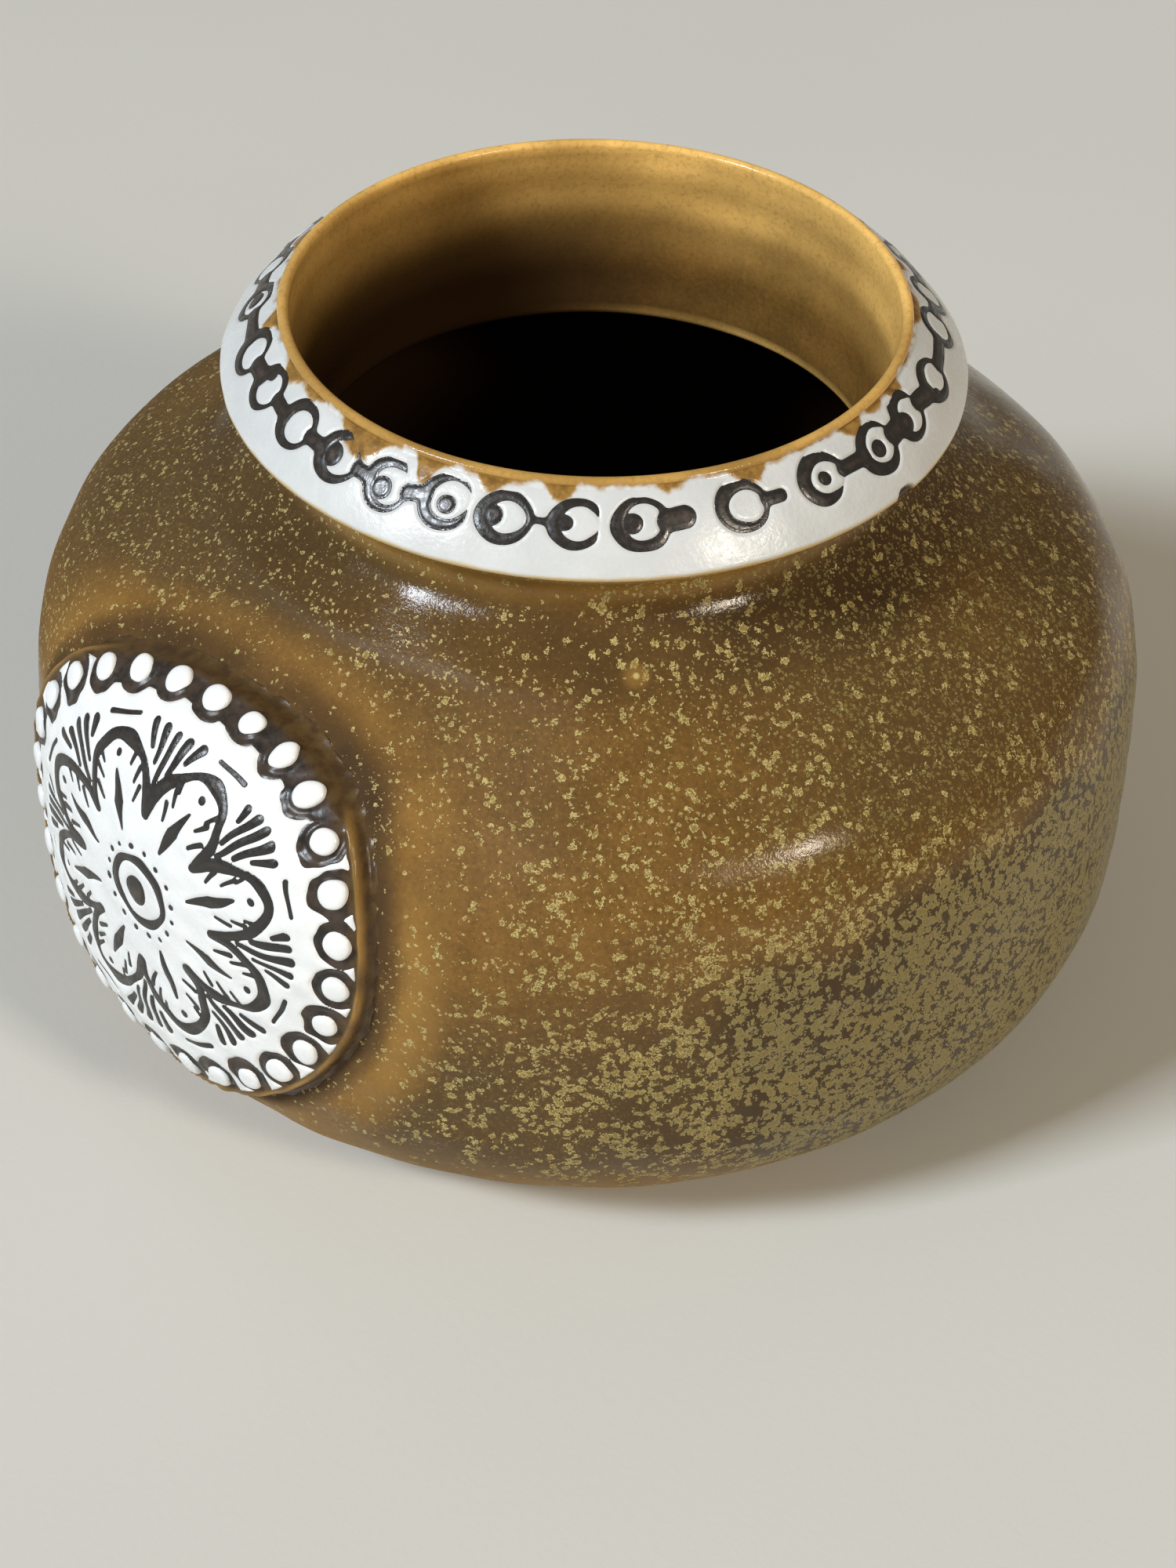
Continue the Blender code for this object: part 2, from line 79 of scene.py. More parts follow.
# Medallion, as in the CAD model
MEDALLION_HEIGHT = 0.0086
MEDALLION_TILT = math.radians(25.0)
SLAB_HALF_WIDTH = 0.0306
SLAB_HALF_HEIGHT = 0.0268
SLAB_EDGE = 0.0008
SLAB_CROWN = 0.0015
PEARL_COUNT = 28
PEARL_RADIUS = 0.0017
PEARL_RELIEF = 0.0015
PEARL_INSET = 0.0031
SOCKET_RADIUS = 0.0024
FIELD_HALF_WIDTH = SLAB_HALF_WIDTH - PEARL_INSET - SOCKET_RADIUS
FIELD_HALF_HEIGHT = SLAB_HALF_HEIGHT - PEARL_INSET - SOCKET_RADIUS
PETAL_COUNT = 8
PETAL_ROOT_SHARE = 0.46
PETAL_TIP_SHARE = 0.80
PETAL_BLUNTNESS = 0.7
VEIN_START_SHARE = 0.34
VEIN_END_SHARE = 0.62
EYE_RADIUS = 0.0040
SEAT_GAP = 0.0003

# Outline of a pearl's dome: share of its radius at a share of its relief, from its foot up
PEARL_OUTLINE = (
    (1.00, -0.10),
    (1.00, 0.45),
    (0.99, 0.62),
    (0.95, 0.76),
    (0.87, 0.87),
    (0.74, 0.94),
    (0.52, 0.985),
    (0.26, 1.00),
)

# Azimuth of the side that the camera sees
SEEN_SIDE = math.radians(46.65)

# A pinhole in the glaze of the gutter: radius, azimuth and height
PINHOLE = (0.0423, SEEN_SIDE + math.radians(7.0), 0.0676)

# Chip in the collar's lower edge
CHIP_AZIMUTH = SEEN_SIDE + math.radians(53.5)
CHIP_HALF_WIDTH = 0.0016
CHIP_HEIGHT = 0.0009
CHIP_DEPTH = 0.0006

# Glaze: how thick it lies and how it runs
GLAZE_DRAW = 0.00012  # the glaze's own skin drawn in from the CAD wall
THROWING_RELIEF = 0.00007
THROWING_PITCH = 0.0062
UNEVENNESS = 0.00010
CHANNEL_DEPTH = 0.0005  # of the groove round the slab
POOL_DROP = 0.00045  # of the dark glaze in the sockets below the slab's face
FLOOD_SPAN = (11.0, 112.0)  # degrees of the slab's border that the dark glaze has flooded
FLOOD_FADE = 14.0
MENISCUS_REACH = 0.00030  # of the pool, up the pearls and the slab
LINE_STOP = 0.0006  # of the drawing, short of the slab's edge
PETAL_LINE = 0.00062
EYE_LINE = 0.00055
INK_DEPTH = 0.00022  # of the valleys that hold the dark lines
INK_SHOULDER = 0.00035
INK_FULL_DEPTH = 0.00025  # how far inside a line its valley is at its deepest
INK_FILL = 0.00014  # of the dark glaze over its valley in a line's middle, and at its edge
INK_SKIN = 0.00003
INK_FILL_SPAN = 0.00040
INK_ROOT = 0.0001
COAT_FEATHER = 0.00004  # of the body's skin below the white coat, near the lip
COAT_ROUNDING = 0.00030
LIP_ROUNDING = 0.00010
DRIP_BASE = -0.00010  # ochre over the white at the lip, where it doesn't run
DRIP_LENGTH = 0.0027
DRIP_COUNT = 38
DRIP_BLUNTNESS = 2.6
DRIP_RELIEF = 0.00008

# Zones of the glaze round the body: degrees from the camera, and how soon each fades there
LEFT_START = (-130.0, 9.0)
LEFT_END = (-38.0, -9.0)
RIGHT_START = (22.0, 9.0)
RIGHT_END = (150.0, -14.0)
SIDES_END = (150.0, -10.0)
CRUST_START = (13.0, 13.5)
CRUST_END = (160.0, -22.0)
FEW_START = (-4.0, 10.0)
FEW_END = (185.0, -12.0)
CRUST_SEAM = -120.0  # where the crystals' angles start again from the back

# Zones of the glaze up the body: the heights between which each sets in
SHOULDER_ZONE = (0.046, 0.060)
GUTTER_LOW = (0.0635, 0.0685)
GUTTER_HIGH = (0.0715, 0.0740)

# Rings of the chain on the seen side: azimuth from the camera in degrees, then the dot in each
# ring as its place across and up and its radius, in parts of the ring, then where the ring is open
RINGS = [
    (-93.7, -0.1, 0.0, 0.50, None),
    (-78.6, 0.0, 0.0, 0.0, None),
    (-67.4, -0.5, 0.5, 0.35, None),
    (-55.6, 0.0, 0.0, 0.0, None),
    (-44.2, -0.32, 0.0, 0.52, 60.0),
    (-33.7, -0.28, -0.2, 0.50, 35.0),
    (-23.1, 0.0, -0.15, 0.42, 10.0),
    (-13.2, -0.50, -0.05, 0.45, None),
    (-2.2, -0.50, 0.05, 0.40, 0.0),
    (8.1, -0.38, 0.02, 0.45, None),
    (24.7, 0.0, 0.0, 0.0, None),
    (39.9, 0.0, 0.0, 0.36, -25.0),
    (53.0, -0.1, -0.1, 0.40, 5.0),
    (63.3, -0.50, -0.10, 0.50, 10.0),
    (75.5, -0.6, -0.55, 0.35, None),
    (90.9, 0.0, 0.0, 0.0, None),
    (101.5, 0.0, 0.0, 0.0, None),
]
LOOSE_LINKS = (9, 10)  # rings whose link ends short of the next ring
LOOSE_LENGTH = 0.0017
FAINT_LINKS = {6: 0.0, 7: 0.45, 8: 0.0}  # rings whose link is thin or absent
UNSEEN_RINGS = 13
RING_HALF_WIDTH = 0.00252  # to the middle of the line
RING_HALF_HEIGHT = 0.00230
RING_LINE = 0.00110
LINK_LINE = 0.00178
DOT_WEB = 0.00022  # of glaze where lines meet
RING_WEB = 0.00030
LINK_WEB = 0.00045
HAND_SHAKE = 0.00009

# Grids
BODY_COLUMNS = 424
BODY_PITCH = 0.00095
HOLLOW_PITCH = 0.0040
BAND_COLUMNS = 1560
BAND_ROWS = 54
MEDALLION_PITCH = 0.00022
SLAB_MARGIN = 0.0020  # of the medallion's grid round the slab
PETAL_STEPS = 20
PEARL_SIDES = 40
SLOPE_PROBE = 0.0004  # either way along the wall, to find its slope
WAVE_COUNT = 7
TURN = 2 * math.pi

# Colours, linear
OCHRE = (0.174, 0.089, 0.020)
AMBER = (0.310, 0.172, 0.040)
# POOLED is also the painted shade deep in the mouth
POOLED = (0.052, 0.029, 0.012)
DUSK = (0.095, 0.056, 0.019)
KHAKI = (0.348, 0.286, 0.095)
KHAKI_CRUST = (0.229, 0.191, 0.070)
KHAKI_EDGE = (0.650, 0.550, 0.222)
# GOLD is partly painted light: on the lit side of the mouth, and low on the key lamp's side of the
# foot
GOLD = (0.880, 0.540, 0.155)
GOLD_EDGE = (0.560, 0.400, 0.160)
# HOLLOW is painted shade inside the belly and down the mouth's shaded side
HOLLOW = (0.020, 0.010, 0.004)
CLAY = (0.420, 0.330, 0.230)
WHITE = (0.820, 0.835, 0.820)
COLLAR_WHITE = (0.612, 0.630, 0.622)
INK = (0.020, 0.018, 0.016)
INK_BROWN = (0.060, 0.042, 0.031)
FLOOR = (0.597, 0.594, 0.549)

# Surfaces: how strongly each shines, and the floor's roughness and reach
BODY_SHINE = 0.21
WHITE_SHINE = 0.36
POOL_SHINE = 0.30
PLAIN_SHINE = 0.50
FLOOR_ROUGHNESS = 0.75
FLOOR_REACH = 8.0

# About how big the glaze's crystals are
FLECK = 0.00048
CRYSTAL = 0.00088

# Camera: its place as seen from a height on the vase's axis, and how it is turned from facing that
CAMERA_AIM = 0.0797
CAMERA_DISTANCE = 0.33192
CAMERA_RISE = 0.21676
CAMERA_PAN = -0.00092
CAMERA_TILT = -0.12081
CAMERA_ROLL = -0.02267
LENS = 81.0
SENSOR_HEIGHT = 36.0

# Lamps: azimuth from the camera and elevation in degrees, distance, width, height, power, colour
KEY_LAMP = (-60.0, 39.8, 6.0, 1.30, 1.30, 336.0, (0.92, 1.00, 1.10))
SIDE_LAMP = (44.0, 33.0, 2.0, 0.32, 0.32, 16.2, (1.14, 1.00, 0.82))
NEAR_SKY = (0.27, 0.23, 0.185)  # on the key lamp's side
FAR_SKY = (0.18, 0.155, 0.125)


def smooth(x, low, high):
    """A soft step from 0 at low to 1 at high."""
    t = np.clip((x - low) / (high - low), 0.0, 1.0)
    return t * t * (3 - 2 * t)


def past(x, edge, fade):
    """0 well below an edge and 1 well above it; a fade below zero turns it round."""
    return 1 / (1 + np.exp((edge - x) / fade))


def wrapped(angle):
    """The same angle between -pi and pi."""
    return (angle + math.pi) % TURN - math.pi


def turned_by(angle, x, y):
    """A place turned about the origin."""
    return x * math.cos(angle) - y * math.sin(angle), x * math.sin(angle) + y * math.cos(angle)


def waves(points, wavelength, seed):
    """Soft even noise between about -1 and 1 over an array of points."""
    random = np.random.default_rng(seed)
    total = np.zeros(points.shape[:-1])
    for _ in range(WAVE_COUNT):
        heading = random.normal(size=points.shape[-1])
        heading *= TURN / wavelength * random.uniform(0.6, 1.3) / np.linalg.norm(heading)
        total += np.sin(points @ heading + random.uniform(0.0, TURN))
    return total / math.sqrt(WAVE_COUNT)


def join_soft(first, second, reach):
    """The union of two distance fields, with a web of that reach where they meet."""
    near = np.clip(0.5 + 0.5 * (second - first) / reach, 0.0, 1.0)
    return second + (first - second) * near - reach * near * (1 - near)


# Shapes of the wall


def quarter(radius, rise, power, far, steps=160):
    """A superellipse quarter from its widest place to the rise far, as rows of (r, z)."""
    angle = np.linspace(0.0, math.asin((far / rise) ** (power / 2)), steps)
    across = radius * np.cos(angle) ** (2 / power)
    return np.stack([across, rise * np.sin(angle) ** (2 / power)], axis=1)


def bezier(*handles, steps=80):
    """A curve from the first of four places to the last, as rows."""
    t = np.linspace(0.0, 1.0, steps)[:, None]
    start, start_handle, end_handle, end = (np.array(handle) for handle in handles)
    ends = start * (1 - t) ** 3 + end * t**3
    return ends + 3 * start_handle * (1 - t) ** 2 * t + 3 * end_handle * (1 - t) * t**2


def rise_through(power, at_radius, at_rise):
    """Full rise of a superellipse as wide as the belly that passes through a place."""
    return at_rise / (1 - (at_radius / BELLY_RADIUS) ** power) ** (1 / power)


UPPER_RISE = rise_through(BELLY_FULLNESS_UP, SHOULDER_RADIUS, SHOULDER_Z - BELLY_HEIGHT)
LOWER_RISE = rise_through(BELLY_FULLNESS_DOWN, FOOT_RADIUS, BELLY_HEIGHT)


def outer_wall():
    """The outside from the foot's rounded edge up to the neck's narrowest place."""
    low = quarter(BELLY_RADIUS, LOWER_RISE, BELLY_FULLNESS_DOWN, BELLY_HEIGHT - FOOT_EDGE_ROUND)
    low[:, 1] = BELLY_HEIGHT - low[:, 1]
    shoulder_rise = SHOULDER_Z - BELLY_HEIGHT
    high = quarter(BELLY_RADIUS, UPPER_RISE, BELLY_FULLNESS_UP, shoulder_rise)
    high[:, 1] += BELLY_HEIGHT
    across = SHOULDER_RADIUS / BELLY_RADIUS
    up = shoulder_rise / UPPER_RISE
    slope = UPPER_RISE / BELLY_RADIUS * (across / up) ** (BELLY_FULLNESS_UP - 1)
    reach = (SHOULDER_RADIUS - NECK_RADIUS) * GUTTER_RUN_SHARE
    gutter = bezier(
        (SHOULDER_RADIUS, SHOULDER_Z),
        (SHOULDER_RADIUS - reach, SHOULDER_Z + reach * slope),
        (NECK_RADIUS, NECK_Z - (NECK_Z - SHOULDER_Z) * GUTTER_COVE_SHARE),
        (NECK_RADIUS, NECK_Z),
    )
    return np.concatenate([low[::-1], high[1:], gutter[1:]])


def lengths_along(points):
    return np.concatenate([[0.0], np.cumsum(np.hypot(*np.diff(points, axis=0).T))])


def at_lengths(points, lengths, marks):
    """Both parts of the places on a line at distances along it."""
    return np.array([np.interp(marks, lengths, part) for part in points.T])


def evened(points, pitch):
    lengths = lengths_along(points)
    marks = np.linspace(0.0, lengths[-1], max(3, round(lengths[-1] / pitch)))
    return at_lengths(points, lengths, marks).T


WALL_POINTS = outer_wall()
WALL_LENGTHS = lengths_along(WALL_POINTS)
WALL_LENGTHS -= np.interp(BELLY_HEIGHT, WALL_POINTS[:, 1], WALL_LENGTHS)


def wall_at(along, level):
    """Radius and height at a level over the outside, and its own radius, from the girth along it."""
    radius, height = at_lengths(WALL_POINTS, WALL_LENGTHS, along)
    ahead = at_lengths(WALL_POINTS, WALL_LENGTHS, along + SLOPE_PROBE)
    run, rise = ahead - at_lengths(WALL_POINTS, WALL_LENGTHS, along - SLOPE_PROBE)
    size = np.hypot(run, rise)
    return radius + rise / size * level, height - run / size * level, radius


def round_axis(radius, azimuth, height):
    return np.stack([radius * np.sin(azimuth), -radius * np.cos(azimuth), height], axis=-1)


def on_belly(u, v, level):
    """Points over the front wall, in the medallion's own tilted (u, v)."""
    across, up = turned_by(MEDALLION_TILT, u, v)
    radius, height, on_wall = wall_at(MEDALLION_HEIGHT + up, level)
    return round_axis(radius, across / on_wall, height)


def medallion_place(azimuth, along, radius):
    """The (u, v) of a place on the wall in the medallion's tilted axes."""
    return turned_by(-MEDALLION_TILT, azimuth * radius, along - MEDALLION_HEIGHT)


def oval_distance(u, v):
    """About how far a place is outside the slab's oval."""
    share = np.hypot(u / SLAB_HALF_WIDTH, v / SLAB_HALF_HEIGHT) + 1e-9
    return np.hypot(u, v) * (1 - 1 / share)


def on_collar(azimuth, rise, level):
    """Points over the collar's face, rise being measured up it from its lower edge."""
    share = rise / COLLAR_SLANT
    swell = COLLAR_BULGE * 4 * share * (1 - share) + level
    radius = COLLAR_RADIUS + (LIP_RADIUS - COLLAR_RADIUS) * share + COLLAR_OUT.x * swell
    height = COLLAR_Z + (LIP_Z - COLLAR_Z) * share + COLLAR_OUT.y * swell
    return round_axis(radius, azimuth, height)


# Meshes


def link(name, data):
    """A new object with that data, in the scene."""
    piece = bpy.data.objects.new(name, data)
    bpy.context.scene.collection.objects.link(piece)
    return piece


def object_from(name, points, faces, **attributes):
    mesh = bpy.data.meshes.new(name)
    mesh.from_pydata(points.tolist(), [], faces)
    mesh.validate()
    for key, values in attributes.items():
        layer = mesh.attributes.new(key, "FLOAT", "POINT")
        layer.data.foreach_set("value", np.ascontiguousarray(values, dtype=np.float32))
    mesh.shade_smooth()
    return link(name, mesh)


def grid_quads(rows, columns, wraps_rows=False):
    """Quads of a grid whose columns run round the axis and close."""
    row, column = np.mgrid[: rows if wraps_rows else rows - 1, :columns]
    above, after = (row + 1) % rows, (column + 1) % columns
    corners = ((row, column), (row, after), (above, after), (above, column))
    return np.stack([at * columns + place for at, place in corners], axis=-1).reshape(-1, 4).tolist()


def clipped_grid(field, wraps):
    """The part of a grid where field is below zero, cut off along its zero line.

    Gives the points as (row, column) places, the faces, and the edges along the cut.
    """

    def squares(grid):
        right = np.roll(grid, -1, axis=1)
        corners = np.stack([grid[:-1], right[:-1], right[1:], grid[1:]], axis=-1)
        return corners if wraps else corners[:, :-1]

    inside = field < 0
    numbers = np.full(field.shape, -1)
    numbers[inside] = np.arange(inside.sum())
    places = [tuple(place) for place in np.argwhere(inside).astype(float)]
    held = squares(inside).sum(axis=-1)
    faces = squares(numbers)[held == 4].tolist()
    crossings = {}
    rim = []
    for row, column in np.argwhere((held > 0) & (held < 4)).tolist():
        around = [(row, column), (row, column + 1), (row + 1, column + 1), (row + 1, column)]
        face = []
        ends = []
        for a, b in zip(around, around[1:] + around[:1]):
            a_key, b_key = ((at, place % field.shape[1]) for at, place in (a, b))
            if inside[a_key]:
                face.append(int(numbers[a_key]))
            if inside[a_key] != inside[b_key]:
                key = (min(a_key, b_key), max(a_key, b_key))
                if key not in crossings:
                    share = field[a_key] / (field[a_key] - field[b_key])
                    crossings[key] = len(places)
                    places.append((a[0] + (b[0] - a[0]) * share, a[1] + (b[1] - a[1]) * share))
                face.append(crossings[key])
                ends.append(crossings[key])
        if not inside[row, column]:
            ends = ends[1:] + ends[:1]
        rim += zip(ends[::2], ends[1::2])
        faces.append(face)
    return np.array(places), faces, rim


def sampled(grid, places):
    """A grid's values at (row, column) places, straight between its points."""
    rows, columns = grid.shape
    row, column = np.floor(places).astype(int).T
    row_share, column_share = places[:, 0] - row, places[:, 1] - column
    above, after = (row + 1) % rows, (column + 1) % columns
    column = column % columns
    low = grid[row, column] * (1 - column_share) + grid[row, after] * column_share
    high = grid[above, column] * (1 - column_share) + grid[above, after] * column_share
    return low * (1 - row_share) + high * row_share


def cut_skin(name, cut, over, layers, wraps=False):
    """A solid over the part of a grid where cut is below zero.

    over turns (row, column) places and a level into points. layers gives the top's level, the
    bottom's and the attributes, from a function that samples a grid at the places.
    """
    places, faces, rim = clipped_grid(cut, wraps)
    top, bottom, attributes = layers(lambda grid: sampled(grid, places))
    count = len(places)
    faces = faces + [[count + i for i in reversed(face)] for face in faces]
    faces += [[b, a, count + a, count + b] for a, b in rim]
    doubled = {key: np.concatenate([values, values]) for key, values in attributes.items()}
    points = np.concatenate([over(places, top), over(places, bottom)])
    return object_from(name, points, faces, **doubled)


def line_valley(field):
    """How far the surface dips where a dark line runs, from the line's distance field."""
    return -INK_DEPTH * smooth(-field, -INK_SHOULDER, INK_FULL_DEPTH)


def line_layers(field, ground):
    """Layers of the dark glaze that fills a line's valley in the ground."""

    def layers(at):
        away, base = at(field), at(ground)
        fill = line_valley(away) + INK_SKIN + INK_FILL * smooth(-away, 0.0, INK_FILL_SPAN)
        return base + fill, base - INK_DEPTH - INK_ROOT, {"depth": -away}

    return layers


# The glazed body


def body_rows():
    """The body's outline from its base's middle up the outside, over the lip and down the inside.

    Gives the label of each place and its (r, z).
    """
    ring_inner = FOOT_RADIUS - FOOT_RING_WIDTH
    recess = ring_inner - FOOT_RECESS
    under = [(share * recess, FOOT_RECESS) for share in (0.0, *np.linspace(0.1, 1.0, 16))]
    base = bezier(
        (recess, FOOT_RECESS),
        (ring_inner - FOOT_RECESS / 3, FOOT_RECESS),
        (ring_inner - FOOT_RECESS / 3, 0.0),
        (ring_inner + FOOT_RECESS / 3, 0.0),
        steps=8,
    )
    flat = np.linspace(base[-1], (FOOT_RADIUS - FOOT_EDGE_ROUND, 0.0), 6)
    round_up = (FOOT_RADIUS, FOOT_EDGE_ROUND / 3)
    edge = bezier(flat[-1], (FOOT_RADIUS, 0.0), round_up, WALL_POINTS[0], steps=5)
    depth = BAND_THICKNESS + SEAT_GAP
    seat = (COLLAR_RADIUS - COLLAR_OUT.x * depth, COLLAR_Z - COLLAR_OUT.y * depth)
    under_collar = bezier(
        (NECK_RADIUS, NECK_Z),
        (NECK_RADIUS, NECK_Z + (COLLAR_Z - NECK_Z) / 2),
        (seat[0] - BAND_THICKNESS / 2, seat[1] - (COLLAR_Z - NECK_Z) / 4),
        seat,
        steps=14,
    )
    share = np.linspace(0.05, 1.0, 24)
    sunk = depth - (depth - COAT_FEATHER) * smooth(share, 0.72, 0.90)
    behind = on_collar(math.pi / 2, share * COLLAR_SLANT, -sunk)[:, [0, 2]]
    angle = np.linspace(0.0, math.pi, 13)
    half = LIP_WIDTH / 2
    lip = np.stack([LIP_RADIUS - half + half * np.cos(angle), LIP_Z + half * np.sin(angle)], axis=1)
    mouth = bezier(
        lip[-1],
        (lip[-1][0], COLLAR_Z),
        (BORE_RADIUS, BORE_Z + (COLLAR_Z - BORE_Z) / 3),
        (BORE_RADIUS, BORE_Z),
    )
    ceiling_end = (BORE_RADIUS + BORE_CORNER, BORE_Z - BORE_CORNER)
    corner = bezier(
        (BORE_RADIUS, BORE_Z),
        (BORE_RADIUS, BORE_Z - BORE_CORNER / 2),
        (BORE_RADIUS + BORE_CORNER / 2, BORE_Z - BORE_CORNER),
        ceiling_end,
        steps=6,
    )
    inside_radius = BELLY_RADIUS - WALL
    up_rise = UPPER_RISE - WALL
    shoulder_share = (SHOULDER_RADIUS - WALL) / inside_radius
    up_end = up_rise * (1 - shoulder_share**BELLY_FULLNESS_UP) ** (1 / BELLY_FULLNESS_UP)
    high = quarter(inside_radius, up_rise, BELLY_FULLNESS_UP, up_end)
    high[:, 1] += BELLY_HEIGHT
    drop = BELLY_HEIGHT - FLOOR_THICKNESS
    low = quarter(inside_radius, drop, BELLY_FULLNESS_DOWN, drop)
    low[:, 1] = BELLY_HEIGHT - low[:, 1]
    hollow = evened(np.concatenate([[ceiling_end], high[::-1], low[1:]]), HOLLOW_PITCH)
    hollow[-1] = (0.0, FLOOR_THICKNESS)
    parts = (
        ("base", np.concatenate([under, base[1:], flat[1:], edge[1:]])),
        ("wall", evened(WALL_POINTS, BODY_PITCH)[1:]),
        ("neck", under_collar[1:]),
        ("hidden", behind),
        ("lip", lip[1:]),
        ("mouth", evened(mouth, BODY_PITCH)[1:]),
        ("hollow", np.concatenate([corner[1:], hollow[1:]])),
    )
    labels = np.repeat([label for label, _ in parts], [len(points) for _, points in parts])
    return labels, np.concatenate([points for _, points in parts])


def crystal_cover(turned, height, spread):
    """Share of the glaze that crystals cover: few at the medallion's side, a crust on the other.

    The heights are in millimetres here, and the angles in degrees from the camera.
    """
    turned = np.where(turned < CRUST_SEAM, turned + 360.0, turned)
    height = height * 1000
    start = CRUST_START[0] + 0.65 * np.clip(height - 30.0, 0.0, None)
    start = start + 1.6 * np.clip(20.0 - height, 0.0, None)
    most = 1.15 - 0.97 * smooth(height, 38.0, 57.0)
    crust = most * past(turned, start, CRUST_START[1]) * past(turned, *CRUST_END)
    few = 0.022 + 0.14 * past(turned, *FEW_START) * past(turned, *FEW_END)
    few *= smooth(height, 2.0, 20.0)
    return np.clip((few + crust) * (1 + 0.14 * spread), 0.0, 0.97)


def make_body():
    labels, rows = body_rows()

    def on(*names):
        return np.isin(labels, names)[:, None]

    tangent = np.gradient(rows, axis=0)
    tangent /= np.hypot(*tangent.T)[:, None]
    outward = np.stack([tangent[:, 1], -tangent[:, 0]], axis=1)
    azimuth = np.arange(BODY_COLUMNS) * TURN / BODY_COLUMNS
    radii, heights, azimuths = np.broadcast_arrays(rows[:, :1], rows[:, 1:], azimuth)
    points = round_axis(radii, azimuths, heights)

    def above(low, high):
        return smooth(heights, low, high)

    def below(low, high):
        return 1 - smooth(heights, low, high)

    on_wall, on_lip = on("wall"), on("lip")
    outside, in_mouth, by_lip = on("wall", "neck"), on("mouth", "hollow"), on("lip", "hidden")
    along = np.interp(heights, WALL_POINTS[:, 1], WALL_LENGTHS)
    u, v = medallion_place(wrapped(azimuths), along, radii)
    beyond = np.where(on_wall, oval_distance(u, v), 1.0)
    flooded = flood(u, v)
    wander = waves(points, 0.030, 1)
    turned = np.degrees(wrapped(azimuths - SEEN_SIDE))
    left = past(turned, *LEFT_END) * past(turned, *LEFT_START)
    right = past(turned, *RIGHT_START) * past(turned, *RIGHT_END)
    not_back = past(np.abs(turned), *SIDES_END)
    spiral = np.sin(TURN * heights / THROWING_PITCH + azimuths + 0.6 * wander)
    level = (on_wall | in_mouth) * (-GLAZE_DRAW + THROWING_RELIEF * spiral * (0.5 + 0.5 * wander))
    level += in_mouth * THROWING_RELIEF * 1.5 * spiral
    level -= CHANNEL_DEPTH * smooth(-beyond, -0.0022, 0.0002)
    level += on_wall * UNEVENNESS * (waves(points, 0.011, 2) - 1)
    points = round_axis(radii + outward[:, :1] * level, azimuths, heights + outward[:, 1:] * level)

    # Crystals
    cover = crystal_cover(turned, heights, waves(points, 0.016, 3)) * smooth(beyond, 0.0010, 0.0060)
    cover = outside * cover * (1 - 0.9 * above(NECK_Z - 0.001, COLLAR_Z))
    cover *= 1 - 0.50 * right * above(0.044, 0.056)
    flecks = 0.110 + 0.48 * right * above(0.038, 0.052)
    flecks = flecks + 0.04 * left + 0.05 * waves(points, 0.012, 6)
    flecks = outside * flecks * above(0.006, 0.026)

    # Darker ground at the shoulder, low down and on both sides
    dusk = above(*SHOULDER_ZONE) * (0.36 + 0.42 * left + 0.30 * right) + 0.40 * left
    dusk += 1.10 * below(0.022, 0.050) * past(turned, -42.0, 8.0) * not_back
    dusk += 0.35 * right
    dusk += 0.45 * below(0.034, 0.056) * past(turned, 2.0, 9.0) * not_back
    dusk = outside * dusk * smooth(beyond, 0.004, 0.014 - 0.004 * flooded) * (1 + 0.2 * wander)

    # Dark pools in the gutter and round the slab, and amber where the glaze is thin
    pooled_and_shade = above(*GUTTER_LOW) * below(*GUTTER_HIGH) * 0.75
    pooled_and_shade = outside * pooled_and_shade * (0.80 + 0.30 * right + 0.20 * waves(points, 0.020, 4))
    ring = 1 - smooth(beyond, 0.0014, 0.0042 + 0.0026 * flooded)
    ring *= 0.90 + 0.12 * waves(points, 0.010, 8)
    pooled_and_shade = np.maximum(pooled_and_shade, ring)
    halo = smooth(beyond, 0.0026, 0.0044) * (1 - smooth(beyond, 0.0050, 0.0105))
    thinned = (0.52 + 0.35 * waves(points, 0.018, 5)) * (1 - 0.75 * flooded)
    halo *= thinned * (0.45 + 0.55 * smooth(u, 0.0, 0.02))
    low_rim = below(0.0040, 0.0170) * (0.85 + 0.25 * left)
    under_lip = above(0.0718, 0.0750) * (1 - 0.6 * right)
    amber = outside * np.maximum(np.maximum(halo, low_rim), under_lip)
    amber = np.where(by_lip, 0.45, amber)

    # The mouth: gold at the lip and the bore's corner, with painted light keeping it to the lit side;
    # below, painted shade, darker deeper down and on the shaded side, away from the key lamp
    shaded = smooth(np.cos(np.radians(turned + 102.0)), -0.40, 0.66)
    bands = waves(heights[..., None], 0.0045, 9)
    # Painted light: the gold near the lip is weaker on the shaded side, and the bore's corner line is
    # gold only on the lit side
    near_lip = above(COLLAR_Z - 0.0080, LIP_Z) * (1 - 0.45 * shaded)
    near_corner = (1 - smooth(np.abs(heights - BORE_Z + 0.0002), 0.0003, 0.0011)) * (1 - shaded)
    # Painted shade: the mouth darkens deeper down, most on the shaded side
    deep = below(BORE_Z + 0.0005, BORE_Z + 0.0140 + 0.0060 * shaded)
    deep = deep * (0.30 + 0.75 * shaded) * (1 + 0.25 * bands)
    # In the mouth the pooled share is this painted shade
    pooled_and_shade = np.where(in_mouth, deep * (1 - near_corner), pooled_and_shade)
